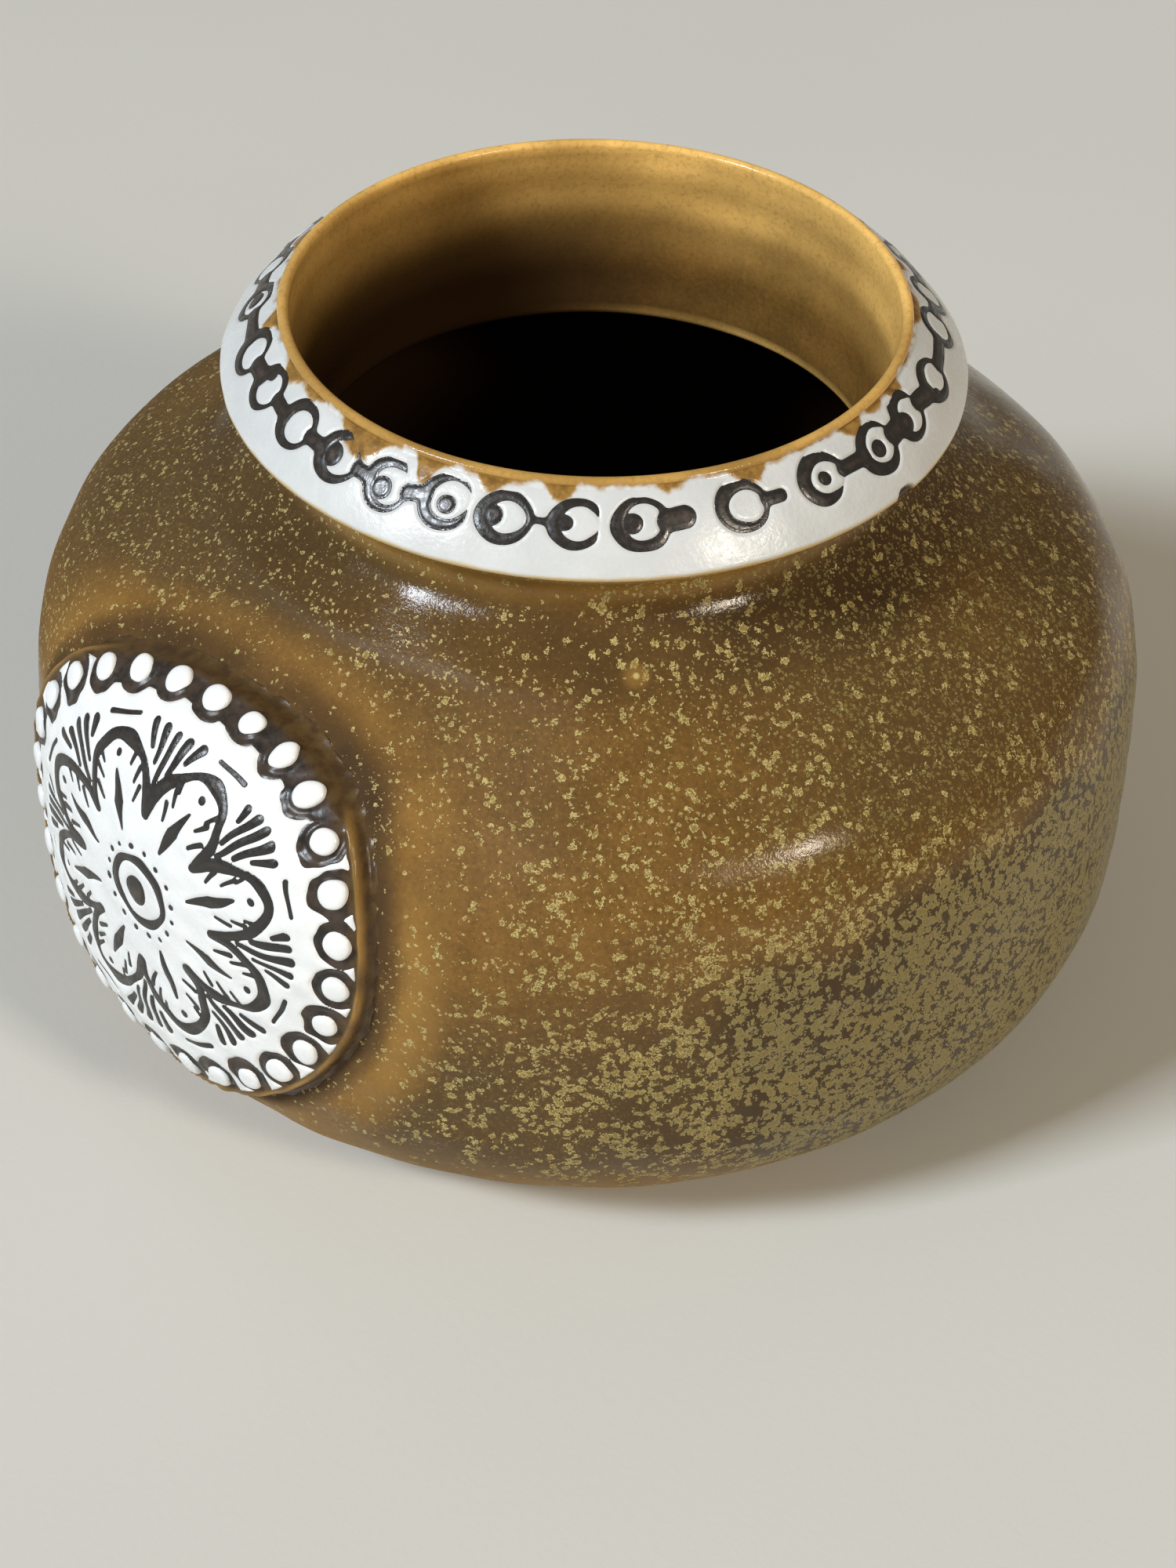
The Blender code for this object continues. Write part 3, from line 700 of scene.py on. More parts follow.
    # Painted light: the amber low down is thin glaze, and this gold over it on the key lamp's side
    # brightens the foot where the floor shades it
    foot_gold_painted_light = on_wall * 0.26 * below(0.0060, 0.0180)
    foot_gold_painted_light = foot_gold_painted_light * past(turned, 8.0, -10.0) * not_back
    gold = np.where(in_mouth, np.maximum(near_lip, 0.6 * near_corner), foot_gold_painted_light)
    gold = np.where(on_lip, 0.85 - 0.50 * np.cos(np.radians(turned + 20.0)), gold)
    gold = gold * (0.84 + 0.20 * waves(points, 0.014, 7)) * (1 + 0.10 * bands * in_mouth)
    # Painted shade: the belly's inside near black, darker further down, and the mouth's shaded side
    # dark down to the bore
    hollow = on("hollow") * below(BORE_Z - 0.0100, BORE_Z)
    painted_mouth_shade = in_mouth * shaded * below(BORE_Z + 0.0045, BORE_Z + 0.0205)

    # How far each place is inside the lip's run of ochre
    half = LIP_WIDTH / 2
    round_lip = half * np.arctan2(heights - LIP_Z, radii - LIP_RADIUS + half)
    below_lip = COLLAR_SLANT * (LIP_Z - heights) / (LIP_Z - COLLAR_Z)
    over = np.where(on_lip, -round_lip, below_lip)

    # Matter glaze on the left shoulder, round the slab and at the foot, and bare clay under it
    satin = above(0.040, 0.050) * smooth(radii, 0.0425, 0.0455) * past(turned, -6.0, -6.0)
    at_foot = below(0.0080, 0.0200) * past(turned, 24.0, -8.0)
    satin = np.maximum(satin * not_back, 0.7 * np.maximum(ring, at_foot * not_back))
    bare = on("base") * smooth(radii, 0.0355, 0.0362)
    bare = np.where(on_wall, 1 - smooth(heights + 0.0002 * wander, 0.0012, 0.0018), bare)

    def skin(grid):
        """A grid's values in the mesh's order: the rows between the poles, then the poles."""
        return np.concatenate([grid[1:-1].reshape(-1, *grid.shape[2:]), grid[[0, -1], 0]])

    shares = {"cover": cover, "flecks": flecks, "dusk": dusk, "pooled_and_shade": pooled_and_shade, "amber": amber}
    shares |= {"gold": gold, "hollow": np.maximum(hollow, painted_mouth_shade), "bare": bare}
    fields = {key: skin(np.clip(values, 0.0, 1.0)) for key, values in shares.items()}
    fields["rim_glaze"] = skin(np.where(by_lip, drip_edge(azimuths) - over, 0.01))
    fields["satin"] = skin(on_wall * satin)
    faces = grid_quads(len(rows) - 2, BODY_COLUMNS)
    count = (len(rows) - 2) * BODY_COLUMNS
    last = count - BODY_COLUMNS
    for i in range(BODY_COLUMNS):
        j = (i + 1) % BODY_COLUMNS
        faces += [[count, j, i], [count + 1, last + i, last + j]]
    return object_from("glazed_body", skin(points), faces, **fields)


# The collar


def chain_rings():
    """(azimuth, dot across, dot up, dot radius, opening) of every ring round the collar."""
    rings = [(SEEN_SIDE + math.radians(ring[0]), *ring[1:]) for ring in RINGS]
    random = np.random.default_rng(8)
    start = rings[-1][0]
    stop = rings[0][0] + TURN
    for number in range(1, UNSEEN_RINGS + 1):
        azimuth = start + (stop - start) * number / (UNSEEN_RINGS + 1)
        dot = random.choice([0.0, 0.42, 0.50])
        across = -0.35 * random.uniform(0.0, 1.0)
        rings.append((azimuth, across, random.uniform(-0.2, 0.2), dot, None))
    return rings


def chain_field(azimuth, rise):
    """Distance field of the chain's dark lines over the collar."""
    radius = COLLAR_RADIUS + (LIP_RADIUS - COLLAR_RADIUS) * CHAIN_RISE / COLLAR_SLANT
    spots = np.stack([radius * np.sin(azimuth), radius * np.cos(azimuth), rise], axis=-1)
    shake_u, shake_v = (HAND_SHAKE * waves(spots, 0.0042, seed) for seed in (11, 12))
    weight = waves(spots, 0.0060, 13)
    random = np.random.default_rng(14)
    field = np.full(azimuth.shape, 0.01)
    middles = []
    for centre, dot_across, dot_up, dot_radius, opening in chain_rings():
        lift = random.uniform(-0.00025, 0.00025)
        wide = RING_HALF_WIDTH * random.uniform(0.94, 1.07)
        tall = RING_HALF_HEIGHT * random.uniform(0.94, 1.07)
        lean = random.uniform(-0.25, 0.25)
        thick_side = math.pi + random.uniform(-0.5, 0.5)
        middles.append((centre, lift, wide))
        u = wrapped(azimuth - centre) * radius + shake_u
        v = rise - CHAIN_RISE - lift + shake_v
        angle = np.arctan2(v, u)
        share = np.hypot(u / wide, v / tall) * (1 + 0.035 * np.cos(2 * angle + 4 * lean))
        half_line = RING_LINE / 2 * (1.00 + 0.42 * np.cos(angle - thick_side) + 0.16 * weight)
        if opening is not None:
            away = np.abs(wrapped(angle - math.radians(opening)))
            half_line = half_line * (smooth(away, 0.0, 0.85) * 1.25 - 0.25)
        ring = np.abs(share - 1) * (wide + tall) / 2 - half_line
        if dot_radius:
            dot = np.hypot(u - dot_across * wide, v - dot_up * tall) - dot_radius * tall
            touches = abs(dot_across) + abs(dot_up) > 0.2
            ring = join_soft(ring, dot, DOT_WEB) if touches else np.minimum(ring, dot)
        field = join_soft(field, ring, RING_WEB)
    for number, (centre, lift, wide) in enumerate(middles):
        next_centre, next_lift, next_wide = middles[(number + 1) % len(middles)]
        start = wide + 0.0001
        stop = (next_centre - centre) % TURN * radius - next_wide - 0.0001
        if number in LOOSE_LINKS:
            stop = min(stop, start + LOOSE_LENGTH)
        u = wrapped(azimuth - centre) * radius + shake_u
        along = np.clip((u - start) / max(stop - start, 0.0001), 0.0, 1.0)
        v = rise - CHAIN_RISE - lift - (next_lift - lift) * along + shake_v
        half = LINK_LINE / 2 * random.uniform(0.8, 1.35) * FAINT_LINKS.get(number, 1.0)
        off_end = np.maximum(np.maximum(start - u, u - max(stop, start)), 0.0)
        if half > 0:
            field = join_soft(field, np.hypot(off_end, v) - half, LINK_WEB)
    return field


def drip_edge(azimuth):
    """How far down the collar's face the ochre glaze of the lip comes, at each azimuth."""
    random = np.random.default_rng(21)
    reach = np.full(azimuth.shape, DRIP_BASE)
    for number in range(DRIP_COUNT):
        centre = (number + random.uniform(-0.4, 0.4)) * TURN / DRIP_COUNT
        away = wrapped(azimuth - centre) * LIP_RADIUS
        width = random.uniform(0.0011, 0.0024)
        length = DRIP_LENGTH * random.uniform(-0.15, 1.0)
        reach = reach + length * np.exp(-(np.abs(away / width) ** DRIP_BLUNTNESS))
    circle = np.stack([np.sin(azimuth), np.cos(azimuth)], axis=-1) * LIP_RADIUS
    return reach + 0.00012 * waves(circle, 0.0024, 22) + 0.00016 * waves(circle, 0.0060, 23)


def make_collar():
    azimuths = np.arange(BAND_COLUMNS) * TURN / BAND_COLUMNS
    azimuth, rise = np.meshgrid(azimuths, np.linspace(0.0, COLLAR_SLANT, BAND_ROWS))
    field = chain_field(azimuth, rise)
    circle = round_axis(LIP_RADIUS, azimuth, rise)
    level = line_valley(field) + 0.00005 * waves(circle, 0.0060, 31)
    rim_glaze = drip_edge(azimuth) - (COLLAR_SLANT - rise)
    away = (azimuth - CHIP_AZIMUTH) * COLLAR_RADIUS
    chip = 1 - smooth(np.hypot(away / CHIP_HALF_WIDTH, rise / CHIP_HEIGHT), 0.86, 1.04)
    level -= CHIP_DEPTH * chip
    level -= COAT_ROUNDING * (1 - smooth(rise, 0.0, 0.00045)) ** 2
    level += DRIP_RELIEF * smooth(rim_glaze, -0.0003, 0.0005)
    level -= LIP_ROUNDING * smooth(rise, 0.93 * COLLAR_SLANT, COLLAR_SLANT)
    edge = 1 - smooth(rise + 0.00006 * waves(circle, 0.0030, 32), 0.00016, 0.00042)
    top_back = on_collar(azimuth[-1:], rise[-1:], -BAND_THICKNESS * 0.9)
    low_back = on_collar(azimuth[:1], rise[:1] + 0.0001, -BAND_THICKNESS)
    points = np.concatenate([on_collar(azimuth, rise, level), top_back, low_back])
    fields = {"rim_glaze": rim_glaze, "edge": np.clip(edge * 0.9 + chip, 0.0, 1.0), "chip": chip}
    fields = {key: np.pad(values, ((0, 2), (0, 0))).ravel() for key, values in fields.items()}
    faces = grid_quads(BAND_ROWS + 2, BAND_COLUMNS, wraps_rows=True)
    band = object_from("white_band", points.reshape(-1, 3), faces, **fields)

    def over(places, level):
        at_rise = places[:, 0] * COLLAR_SLANT / (BAND_ROWS - 1)
        return on_collar(places[:, 1] * TURN / BAND_COLUMNS, at_rise, level)

    layers = line_layers(field, level - line_valley(field))
    return band, cut_skin("ring_chain_glaze", field, over, layers, wraps=True)


# The medallion


def stroke(u, v, start, end, half_start=0.0, half_end=0.0):
    """Distance field of one straight brush stroke with a width at each end."""
    step = np.array(end) - np.array(start)
    share = ((u - start[0]) * step[0] + (v - start[1]) * step[1]) / (step @ step)
    share = np.clip(share, 0.0, 1.0)
    away = np.hypot(u - start[0] - share * step[0], v - start[1] - share * step[1])
    return away - (half_start + (half_end - half_start) * share)


def field_ray(angle, share):
    return np.array([FIELD_HALF_WIDTH * math.cos(angle), FIELD_HALF_HEIGHT * math.sin(angle)]) * share


def rosette_field(u, v):
    """Distance field of the rosette's dark lines on the slab."""
    spots = np.stack([u, v], axis=-1)
    u = u + 0.00012 * waves(spots, 0.0050, 41)
    v = v + 0.00012 * waves(spots, 0.0050, 42)
    weight = waves(spots, 0.0070, 43)
    random = np.random.default_rng(44)
    outline = []
    for number in range(PETAL_COUNT * PETAL_STEPS):
        angle = TURN * number / (PETAL_COUNT * PETAL_STEPS)
        lobe = abs(math.cos(PETAL_COUNT * angle / 2)) ** PETAL_BLUNTNESS
        reach = PETAL_ROOT_SHARE + (PETAL_TIP_SHARE - PETAL_ROOT_SHARE) * lobe
        outline.append(field_ray(angle, reach))
    field = np.full(u.shape, 1.0)

    def draw(mark):
        np.minimum(field, mark, out=field)

    def draw_dot(spot, radius):
        draw(np.hypot(u - spot[0], v - spot[1]) - radius)

    for start, end in zip(outline, outline[1:] + outline[:1]):
        draw(stroke(u, v, start, end))
    field -= PETAL_LINE * (1 + 0.28 * weight)
    draw(np.abs(np.hypot(u, v) - EYE_RADIUS) - EYE_LINE * (1 + 0.25 * weight))
    draw_dot((-0.0004, 0.0002), 0.0017)
    for number in range(PETAL_COUNT):
        angle = TURN * number / PETAL_COUNT
        middle = field_ray(angle, (VEIN_START_SHARE + VEIN_END_SHARE) / 2)
        for share in (VEIN_START_SHARE, VEIN_END_SHARE):
            draw(stroke(u, v, field_ray(angle, share), middle, 0.00018, 0.00075))
        for side in (-1, 1):
            for share in (0.50, 0.585, 0.66):
                lean = side * 0.125 / share * random.uniform(0.85, 1.15)
                start = field_ray(angle + lean * 0.75, share)
                end = field_ray(angle + lean * 0.95, share + 0.075)
                draw(stroke(u, v, start, end, 0.00020, 0.00032))
        draw_dot(field_ray(angle, 0.715), 0.00046)
        between = angle + math.pi / PETAL_COUNT
        for turn in (-0.17, -0.085, 0.0, 0.085, 0.17):
            start_share = 0.60 + 1.10 * abs(turn) + random.uniform(-0.015, 0.015)
            start = field_ray(between + turn * 0.8, start_share)
            end = field_ray(between + turn, 0.875 + random.uniform(-0.015, 0.015))
            draw(stroke(u, v, start, end, 0.00030, 0.00054 * random.uniform(0.85, 1.15)))
        ends = (field_ray(angle + side, 0.90) for side in (-0.10, 0.10))
        draw(stroke(u, v, *ends, 0.00026, 0.00030))
    for number in range(2 * PETAL_COUNT):
        angle = math.pi * (number + 0.5) / PETAL_COUNT
        spot = np.array([math.cos(angle), math.sin(angle)]) * (EYE_RADIUS + 0.0016)
        draw_dot(spot, 0.00036 * random.uniform(0.85, 1.15))
    return field


def pearl_places():
    """(u, v, radius, stretch, lean) of each pearl, spread evenly round the slab inside its edge."""
    angles = np.linspace(0.0, TURN, 801)
    us = (SLAB_HALF_WIDTH - PEARL_INSET) * np.cos(angles)
    oval = np.stack([us, (SLAB_HALF_HEIGHT - PEARL_INSET) * np.sin(angles)], axis=1)
    lengths = lengths_along(oval)
    random = np.random.default_rng(51)
    places = []
    for number in range(PEARL_COUNT):
        u, v = at_lengths(oval, lengths, lengths[-1] * number / PEARL_COUNT)
        radius = PEARL_RADIUS * random.uniform(0.86, 1.0)
        places.append((u, v, radius, random.uniform(0.0, 0.16), random.uniform(0.0, math.pi)))
    return places


def flood(u, v):
    """1 where the dark glaze has flooded the slab's border, and 0 elsewhere."""
    angle = np.degrees(np.arctan2(v / SLAB_HALF_HEIGHT, u / SLAB_HALF_WIDTH))
    low, high = FLOOD_SPAN
    return smooth(angle, low, low + FLOOD_FADE) * (1 - smooth(angle, high - FLOOD_FADE, high))


def pearl_distance(u, v, place):
    centre_u, centre_v, radius, stretch, lean = place
    across, along = turned_by(-lean, u - centre_u, v - centre_v)
    return np.hypot(across / (1 - stretch / 2), along / (1 + stretch / 2)) - radius


def slab_top(u, v):
    reach = (u / SLAB_HALF_WIDTH) ** 2 + (v / SLAB_HALF_HEIGHT) ** 2
    crown = np.clip(1 - reach**3, 0.0, 1.0)
    return SEAT_GAP + SLAB_EDGE + (SLAB_CROWN - SLAB_EDGE) * crown


def make_medallion():
    reaches = (SLAB_HALF_WIDTH + SLAB_MARGIN, SLAB_HALF_HEIGHT + SLAB_MARGIN)
    us, vs = (np.arange(-reach, reach, MEDALLION_PITCH) for reach in reaches)
    u, v = np.meshgrid(us, vs)
    spots = np.stack([u, v], axis=-1)
    wobble = 0.00014 * waves(spots, 0.0060, 61)
    oval = oval_distance(u, v)
    flooded = flood(u, v)
    pearls = pearl_places()
    nearest = np.min([pearl_distance(u, v, place) for place in pearls], axis=0)
    from_middle = np.min([np.hypot(u - place[0], v - place[1]) for place in pearls], axis=0)
    sockets = SOCKET_RADIUS + wobble + 0.00010 * waves(spots, 0.0022, 64) - from_middle
    border = oval + wobble + 0.0007 + (PEARL_INSET + 0.0007) * flooded
    slab = np.maximum(border, sockets)
    lines = rosette_field(u, v)
    lines = np.where(slab > -LINE_STOP, np.maximum(lines, slab + LINE_STOP), lines)
    round_off = 0.0005 * smooth(slab, -0.0008, 0.0) ** 2
    soft = 0.00006 * waves(spots, 0.0045, 62)
    plate_level = slab_top(u, v) + line_valley(lines) - round_off + soft

    # The dark pool in the sockets and round the slab, with a golden bead at its edge
    inner = -PEARL_INSET - SOCKET_RADIUS - 0.0006
    outer = 0.0011 + 0.00016 * waves(spots, 0.0050, 63)
    pool = np.maximum(oval - outer, inner - oval)
    meniscus = 0.00030 * np.exp(-np.clip(nearest, 0.0, None) / MENISCUS_REACH)
    meniscus += 0.00025 * np.exp(-np.clip(slab, 0.0, None) / MENISCUS_REACH)
    bead = smooth(oval, -0.0010, -0.0006) * (1 - flooded)
    shore = smooth(oval, -0.0006 - 0.0013 * flooded, 0.0007)
    pool_level = (slab_top(u, v) - POOL_DROP * (1 - bead) + meniscus) * (1 - shore) - 0.0005 * shore
    pool_level += 0.00008 * waves(spots, 0.0030, 65)
    golden = bead * (1 - smooth(oval, -0.0004, 0.0001)) * (0.75 + 0.30 * waves(spots, 0.0060, 66))

    def over(places, level):
        at_u = us[0] + places[:, 1] * MEDALLION_PITCH
        return on_belly(at_u, vs[0] + places[:, 0] * MEDALLION_PITCH, level)

    def plate_layers(at):
        return at(plate_level), -0.0002, {"depth": -at(slab)}

    def pool_layers(at):
        return at(pool_level), -0.0010, {"depth": -at(oval), "golden": at(golden)}

    ground = plate_level - line_valley(lines)
    return (
        cut_skin("medallion_plate", slab, over, plate_layers),
        cut_skin("rosette_glaze", lines, over, line_layers(lines, ground)),
        cut_skin("medallion_pool", pool, over, pool_layers),
    )


def make_pearl(name, place):
    """A low dome of white glaze, its foot sunk in the dark pool."""
    centre_u, centre_v, radius, stretch, lean = place
    angle = np.arange(PEARL_SIDES) * TURN / PEARL_SIDES
    across = radius * np.cos(angle) * (1 - stretch / 2)
    along = radius * np.sin(angle) * (1 + stretch / 2)
    off_u, off_v = turned_by(lean, across, along)
    uneven = 1 + 0.03 * waves(np.stack([centre_u + off_u, centre_v + off_v], axis=-1), 0.0025, 71)
    rows = []
    for share, rise in PEARL_OUTLINE:
        at_u = centre_u + off_u * share * uneven
        at_v = centre_v + off_v * share * uneven
        rows.append(on_belly(at_u, at_v, SEAT_GAP + PEARL_RELIEF * rise))
    tip = on_belly(np.array([centre_u]), np.array([centre_v]), SEAT_GAP + PEARL_RELIEF)
    count = len(rows) * PEARL_SIDES
    last = count - PEARL_SIDES
    faces = grid_quads(len(rows), PEARL_SIDES)
    faces += [[count, last + i, last + (i + 1) % PEARL_SIDES] for i in range(PEARL_SIDES)]
    faces.append(list(reversed(range(PEARL_SIDES))))
    return object_from(name, np.concatenate([*rows, tip]), faces)


# Materials


class Nodes:
    """A node tree, with short ways to add to it."""

    def __init__(self, tree, space):
        self.tree = tree
        self.place = self.add("ShaderNodeTexCoord").outputs[space]

    def feed(self, socket, value):
        if isinstance(value, bpy.types.NodeSocket):
            self.tree.links.new(value, socket)
        elif isinstance(value, tuple) and len(value) == 3 and len(socket.default_value) == 4:
            socket.default_value = (*value, 1.0)
        else:
            socket.default_value = value

    def add(self, kind, *values, **settings):
        """A node with those settings, and those values in its first sockets."""
        node = self.tree.nodes.new(kind)
        for key, value in settings.items():
            setattr(node, key, value)
        for socket, value in zip(node.inputs, values):
            self.feed(socket, value)
        return node

    def field(self, name):
        return self.add("ShaderNodeAttribute", attribute_name=name).outputs["Fac"]

    def math(self, operation, first, second, clamp=False):
        node = self.add("ShaderNodeMath", first, second, operation=operation, use_clamp=clamp)
        return node.outputs[0]

    def times(self, first, second, clamp=False):
        return self.math("MULTIPLY", first, second, clamp)

    def plus(self, first, second, clamp=False):
        return self.math("ADD", first, second, clamp)

    def minus(self, first, second):
        return self.math("SUBTRACT", first, second)

    def vector(self, operation, *values):
        return self.add("ShaderNodeVectorMath", *values, operation=operation)

    def step(self, value, low, high, out_low=0.0, out_high=1.0):
        """A soft step from out_low to out_high as value goes from low to high."""
        values = (value, low, high, out_low, out_high)
        return self.add("ShaderNodeMapRange", *values, interpolation_type="SMOOTHSTEP").outputs[0]

    def mix(self, share, first, second):
        node = self.add("ShaderNodeMix", share, data_type="RGBA")
        self.feed(node.inputs[6], first)
        self.feed(node.inputs[7], second)
        return node.outputs[2]

    def cloud(self, grain, low=0.0, high=1.0):
        """Patches about as big as grain that run between two values."""
        return self.step(self.noise(grain, 3.0, 0.6), 0.3, 0.7, low, high)

    def lumps(self, grain, detail, roughness):
        node = self.add("ShaderNodeTexNoise", self.place)
        for key, value in (("Scale", 1.0 / grain), ("Detail", detail), ("Roughness", roughness)):
            node.inputs[key].default_value = value
        return node

    def noise(self, grain, detail, roughness):
        """Noise with lumps about as big as grain."""
        return self.lumps(grain, detail, roughness).outputs["Fac"]

    def shaken(self, grain, amount):
        """The place, moved about by noise of that grain."""
        shift = self.lumps(grain, 2.0, 0.5).outputs["Color"]
        return self.vector("MULTIPLY_ADD", shift, (amount,) * 3, self.place).outputs["Vector"]

    def grains(self, grain, place, odds, small, large):
        """How far inside a grain a place is, where only that share of the grains is there."""
        node = self.add("ShaderNodeTexVoronoi", place)
        node.inputs["Scale"].default_value = 1.0 / grain
        lots = self.add("ShaderNodeSeparateColor", node.outputs["Color"]).outputs
        inside = self.minus(self.step(lots[1], 0.0, 1.0, small, large), node.outputs["Distance"])
        return self.minus(inside, self.minus(1.0, self.math("GREATER_THAN", odds, lots[0])))

    def bump(self, height, depth, strength, after=None):
        node = self.add("ShaderNodeBump")
        node.inputs["Strength"].default_value = strength
        node.inputs["Distance"].default_value = depth
        self.feed(node.inputs["Height"], height)
        if after:
            self.feed(node.inputs["Normal"], after)
        return node.outputs["Normal"]


class Glaze(Nodes):
    """A material's node tree."""

    def __init__(self, name):
        self.material = bpy.data.materials.new(name)
        self.material.use_nodes = True
        super().__init__(self.material.node_tree, "Object")

    def finish(self, colour, roughness, normal, shine=PLAIN_SHINE):
        sockets = self.tree.nodes["Principled BSDF"].inputs
        sockets["Specular IOR Level"].default_value = shine
        self.feed(sockets["Base Color"], colour)
        self.feed(sockets["Roughness"], roughness)
        self.feed(sockets["Normal"], normal)
        return self.material


def tinted(colour, share):
    return tuple(share * part for part in colour)


def ochre_colour(glaze):
    """The glaze without its crystals: ochre that breaks lighter and darker."""
    mix, noise, step = glaze.mix, glaze.noise, glaze.step
    mottle = step(noise(0.0060, 5.0, 0.66), 0.34, 0.68)
    base = mix(mottle, tinted(OCHRE, 0.86), tinted(OCHRE, 1.18))
    base = mix(glaze.field("dusk"), base, DUSK)
    grain = noise(0.00055, 3.0, 0.7)
    base = mix(step(grain, 0.50, 0.78, 0.0, 0.65), base, tinted(DUSK, 0.75))
    return mix(step(grain, 0.50, 0.24, 0.0, 0.40), base, AMBER)


def lip_colour(glaze, white, ochre):
    """White that the lip's ochre glaze runs over by way of amber, frayed along its edge."""
    fray = glaze.step(glaze.noise(0.0016, 3.0, 0.55), 0.25, 0.75, -0.00030, 0.00030)
    share = glaze.step(glaze.plus(glaze.field("rim_glaze"), fray), -0.00090, 0.00090)
    colour = glaze.mix(glaze.step(share, 0.12, 0.80), white, tinted(AMBER, 1.15))
    return glaze.mix(glaze.step(share, 0.40, 1.0), colour, ochre)


def body_material():
    glaze = Glaze("ochre_crystal_glaze")
    field, mix, noise, step = glaze.field, glaze.mix, glaze.noise, glaze.step
    plus, times = glaze.plus, glaze.times
    drift = noise(0.0050, 3.0, 0.6)
    amber = times(field("amber"), step(drift, 0.20, 0.75, 0.7, 1.15), clamp=True)
    pooled_and_shade = times(field("pooled_and_shade"), step(drift, 0.15, 0.60, 1.1, 0.85), clamp=True)
    streak = step(noise(0.0070, 4.0, 0.62), 0.34, 0.66)
    gold = mix(streak, tinted(GOLD, 0.86), GOLD)
    gold = mix(step(noise(0.00060, 3.0, 0.7), 0.45, 0.75, 0.0, 0.35), gold, OCHRE)
    colour = mix(amber, ochre_colour(glaze), AMBER)
    # In the mouth the pooled and hollow shares are painted shade, and the gold is painted light on
    # the lit side
    colour = mix(pooled_and_shade, colour, POOLED)
    colour = mix(field("gold"), colour, gold)
    colour = mix(field("hollow"), colour, HOLLOW)

    # Fine flecks of the glaze's first crystals, down to specks
    fray = noise(0.00026, 3.0, 0.65)
    many = field("flecks")
    speck = step(noise(0.00032, 1.0, 0.5), 0.69, 0.75)
    speck = times(speck, step(many, 0.04, 0.14, 0.0, 0.60))
    colour = mix(speck, colour, tinted(KHAKI_EDGE, 0.85))
    inside = glaze.grains(FLECK, glaze.shaken(0.00045, 0.00065), many, 0.26, 0.54)
    inside = plus(inside, step(fray, 0.25, 0.75, -0.26, 0.26))
    fleck = times(step(inside, -0.02, 0.05), step(inside, 0.30, 0.16, 0.25, 0.75))
    pale = mix(step(many, 0.18, 0.40), tinted(KHAKI_EDGE, 0.85), tinted(KHAKI, 0.74))
    colour = mix(fleck, colour, pale)

    # Grains of khaki crystal, alone, in clumps and packed into a crust
    cover = field("cover")
    clumps = step(noise(0.0044, 3.0, 0.6), 0.36, 0.64, 0.45, 1.55)
    odds = times(cover, step(cover, 0.55, 0.85, clumps, 1.0))
    grains = glaze.grains(CRYSTAL, glaze.shaken(0.00080, 0.00095), odds, 0.40, 0.56)
    grains = plus(grains, step(cover, 0.10, 0.90, 0.0, 0.13))
    grains = plus(grains, step(fray, 0.25, 0.75, -0.30, 0.30))
    crystal = step(grains, -0.03, 0.03)
    heart = step(grains, 0.08, 0.20)
    crusted = step(cover, 0.35, 0.85)
    khaki = mix(step(noise(0.0026, 3.0, 0.6), 0.32, 0.68), tinted(KHAKI, 0.82), KHAKI)
    crust = mix(step(fray, 0.35, 0.62), tinted(KHAKI_CRUST, 0.78), tinted(KHAKI_CRUST, 1.14))
    khaki = mix(crusted, khaki, crust)
    khaki = mix(times(heart, step(crusted, 0.0, 1.0, 0.58, 0.30)), khaki, OCHRE)
    rim = times(glaze.minus(1.0, heart), step(crusted, 0.0, 1.0, 0.90, 0.22))
    khaki = mix(rim, khaki, KHAKI_EDGE)
    between = mix(step(crusted, 0.0, 1.0, 0.0, 0.90), colour, tinted(DUSK, 0.58))
    colour = mix(crystal, between, khaki)

    # The pinhole's amber stain, pale rim and dark middle
    away = glaze.vector("DISTANCE", glaze.place, tuple(round_axis(*PINHOLE))).outputs["Value"]
    colour = mix(step(away, 0.0020, 0.0006, 0.0, 0.5), colour, AMBER)
    colour = mix(step(away, 0.00055, 0.00030, 0.0, 0.6), colour, KHAKI_EDGE)
    colour = mix(step(away, 0.00025, 0.00012), colour, POOLED)
    bare = field("bare")
    colour = lip_colour(glaze, COLLAR_WHITE, mix(bare, colour, CLAY))

    rough = plus(glaze.cloud(0.0040, 0.11, 0.18), times(crystal, 0.14))
    rough = plus(rough, times(field("satin"), 0.80))
    rough = plus(rough, times(bare, 0.45), clamp=True)
    normal = glaze.bump(noise(0.00036, 2.0, 0.6), 0.00005, 0.55)
    normal = glaze.bump(crystal, 0.00009, 0.9, after=normal)
    normal = glaze.bump(noise(0.0020, 2.0, 0.5), 0.00006, 0.5, after=normal)
    return glaze.finish(colour, rough, normal, BODY_SHINE)


def white_colour(glaze, white):
    cloud = glaze.step(glaze.noise(0.0050, 4.0, 0.6), 0.35, 0.70)
    speck = glaze.step(glaze.noise(0.00050, 2.0, 0.6), 0.70, 0.82, 0.0, 0.35)
    return glaze.mix(speck, glaze.mix(cloud, tinted(white, 0.93), white), tinted(white, 0.6))


def finish_white(glaze, colour):
    normal = glaze.bump(glaze.noise(0.00060, 2.0, 0.55), 0.00006, 0.75)
    return glaze.finish(colour, glaze.cloud(0.0020, 0.22, 0.34), normal, WHITE_SHINE)


def band_material():
    glaze = Glaze("white_band_glaze")
    run = glaze.mix(glaze.step(glaze.noise(0.0012, 4.0, 0.6), 0.35, 0.65), AMBER, OCHRE)
    colour = lip_colour(glaze, white_colour(glaze, COLLAR_WHITE), run)
    colour = glaze.mix(glaze.field("edge"), colour, GOLD_EDGE)
    return finish_white(glaze, glaze.mix(glaze.field("chip"), colour, POOLED))


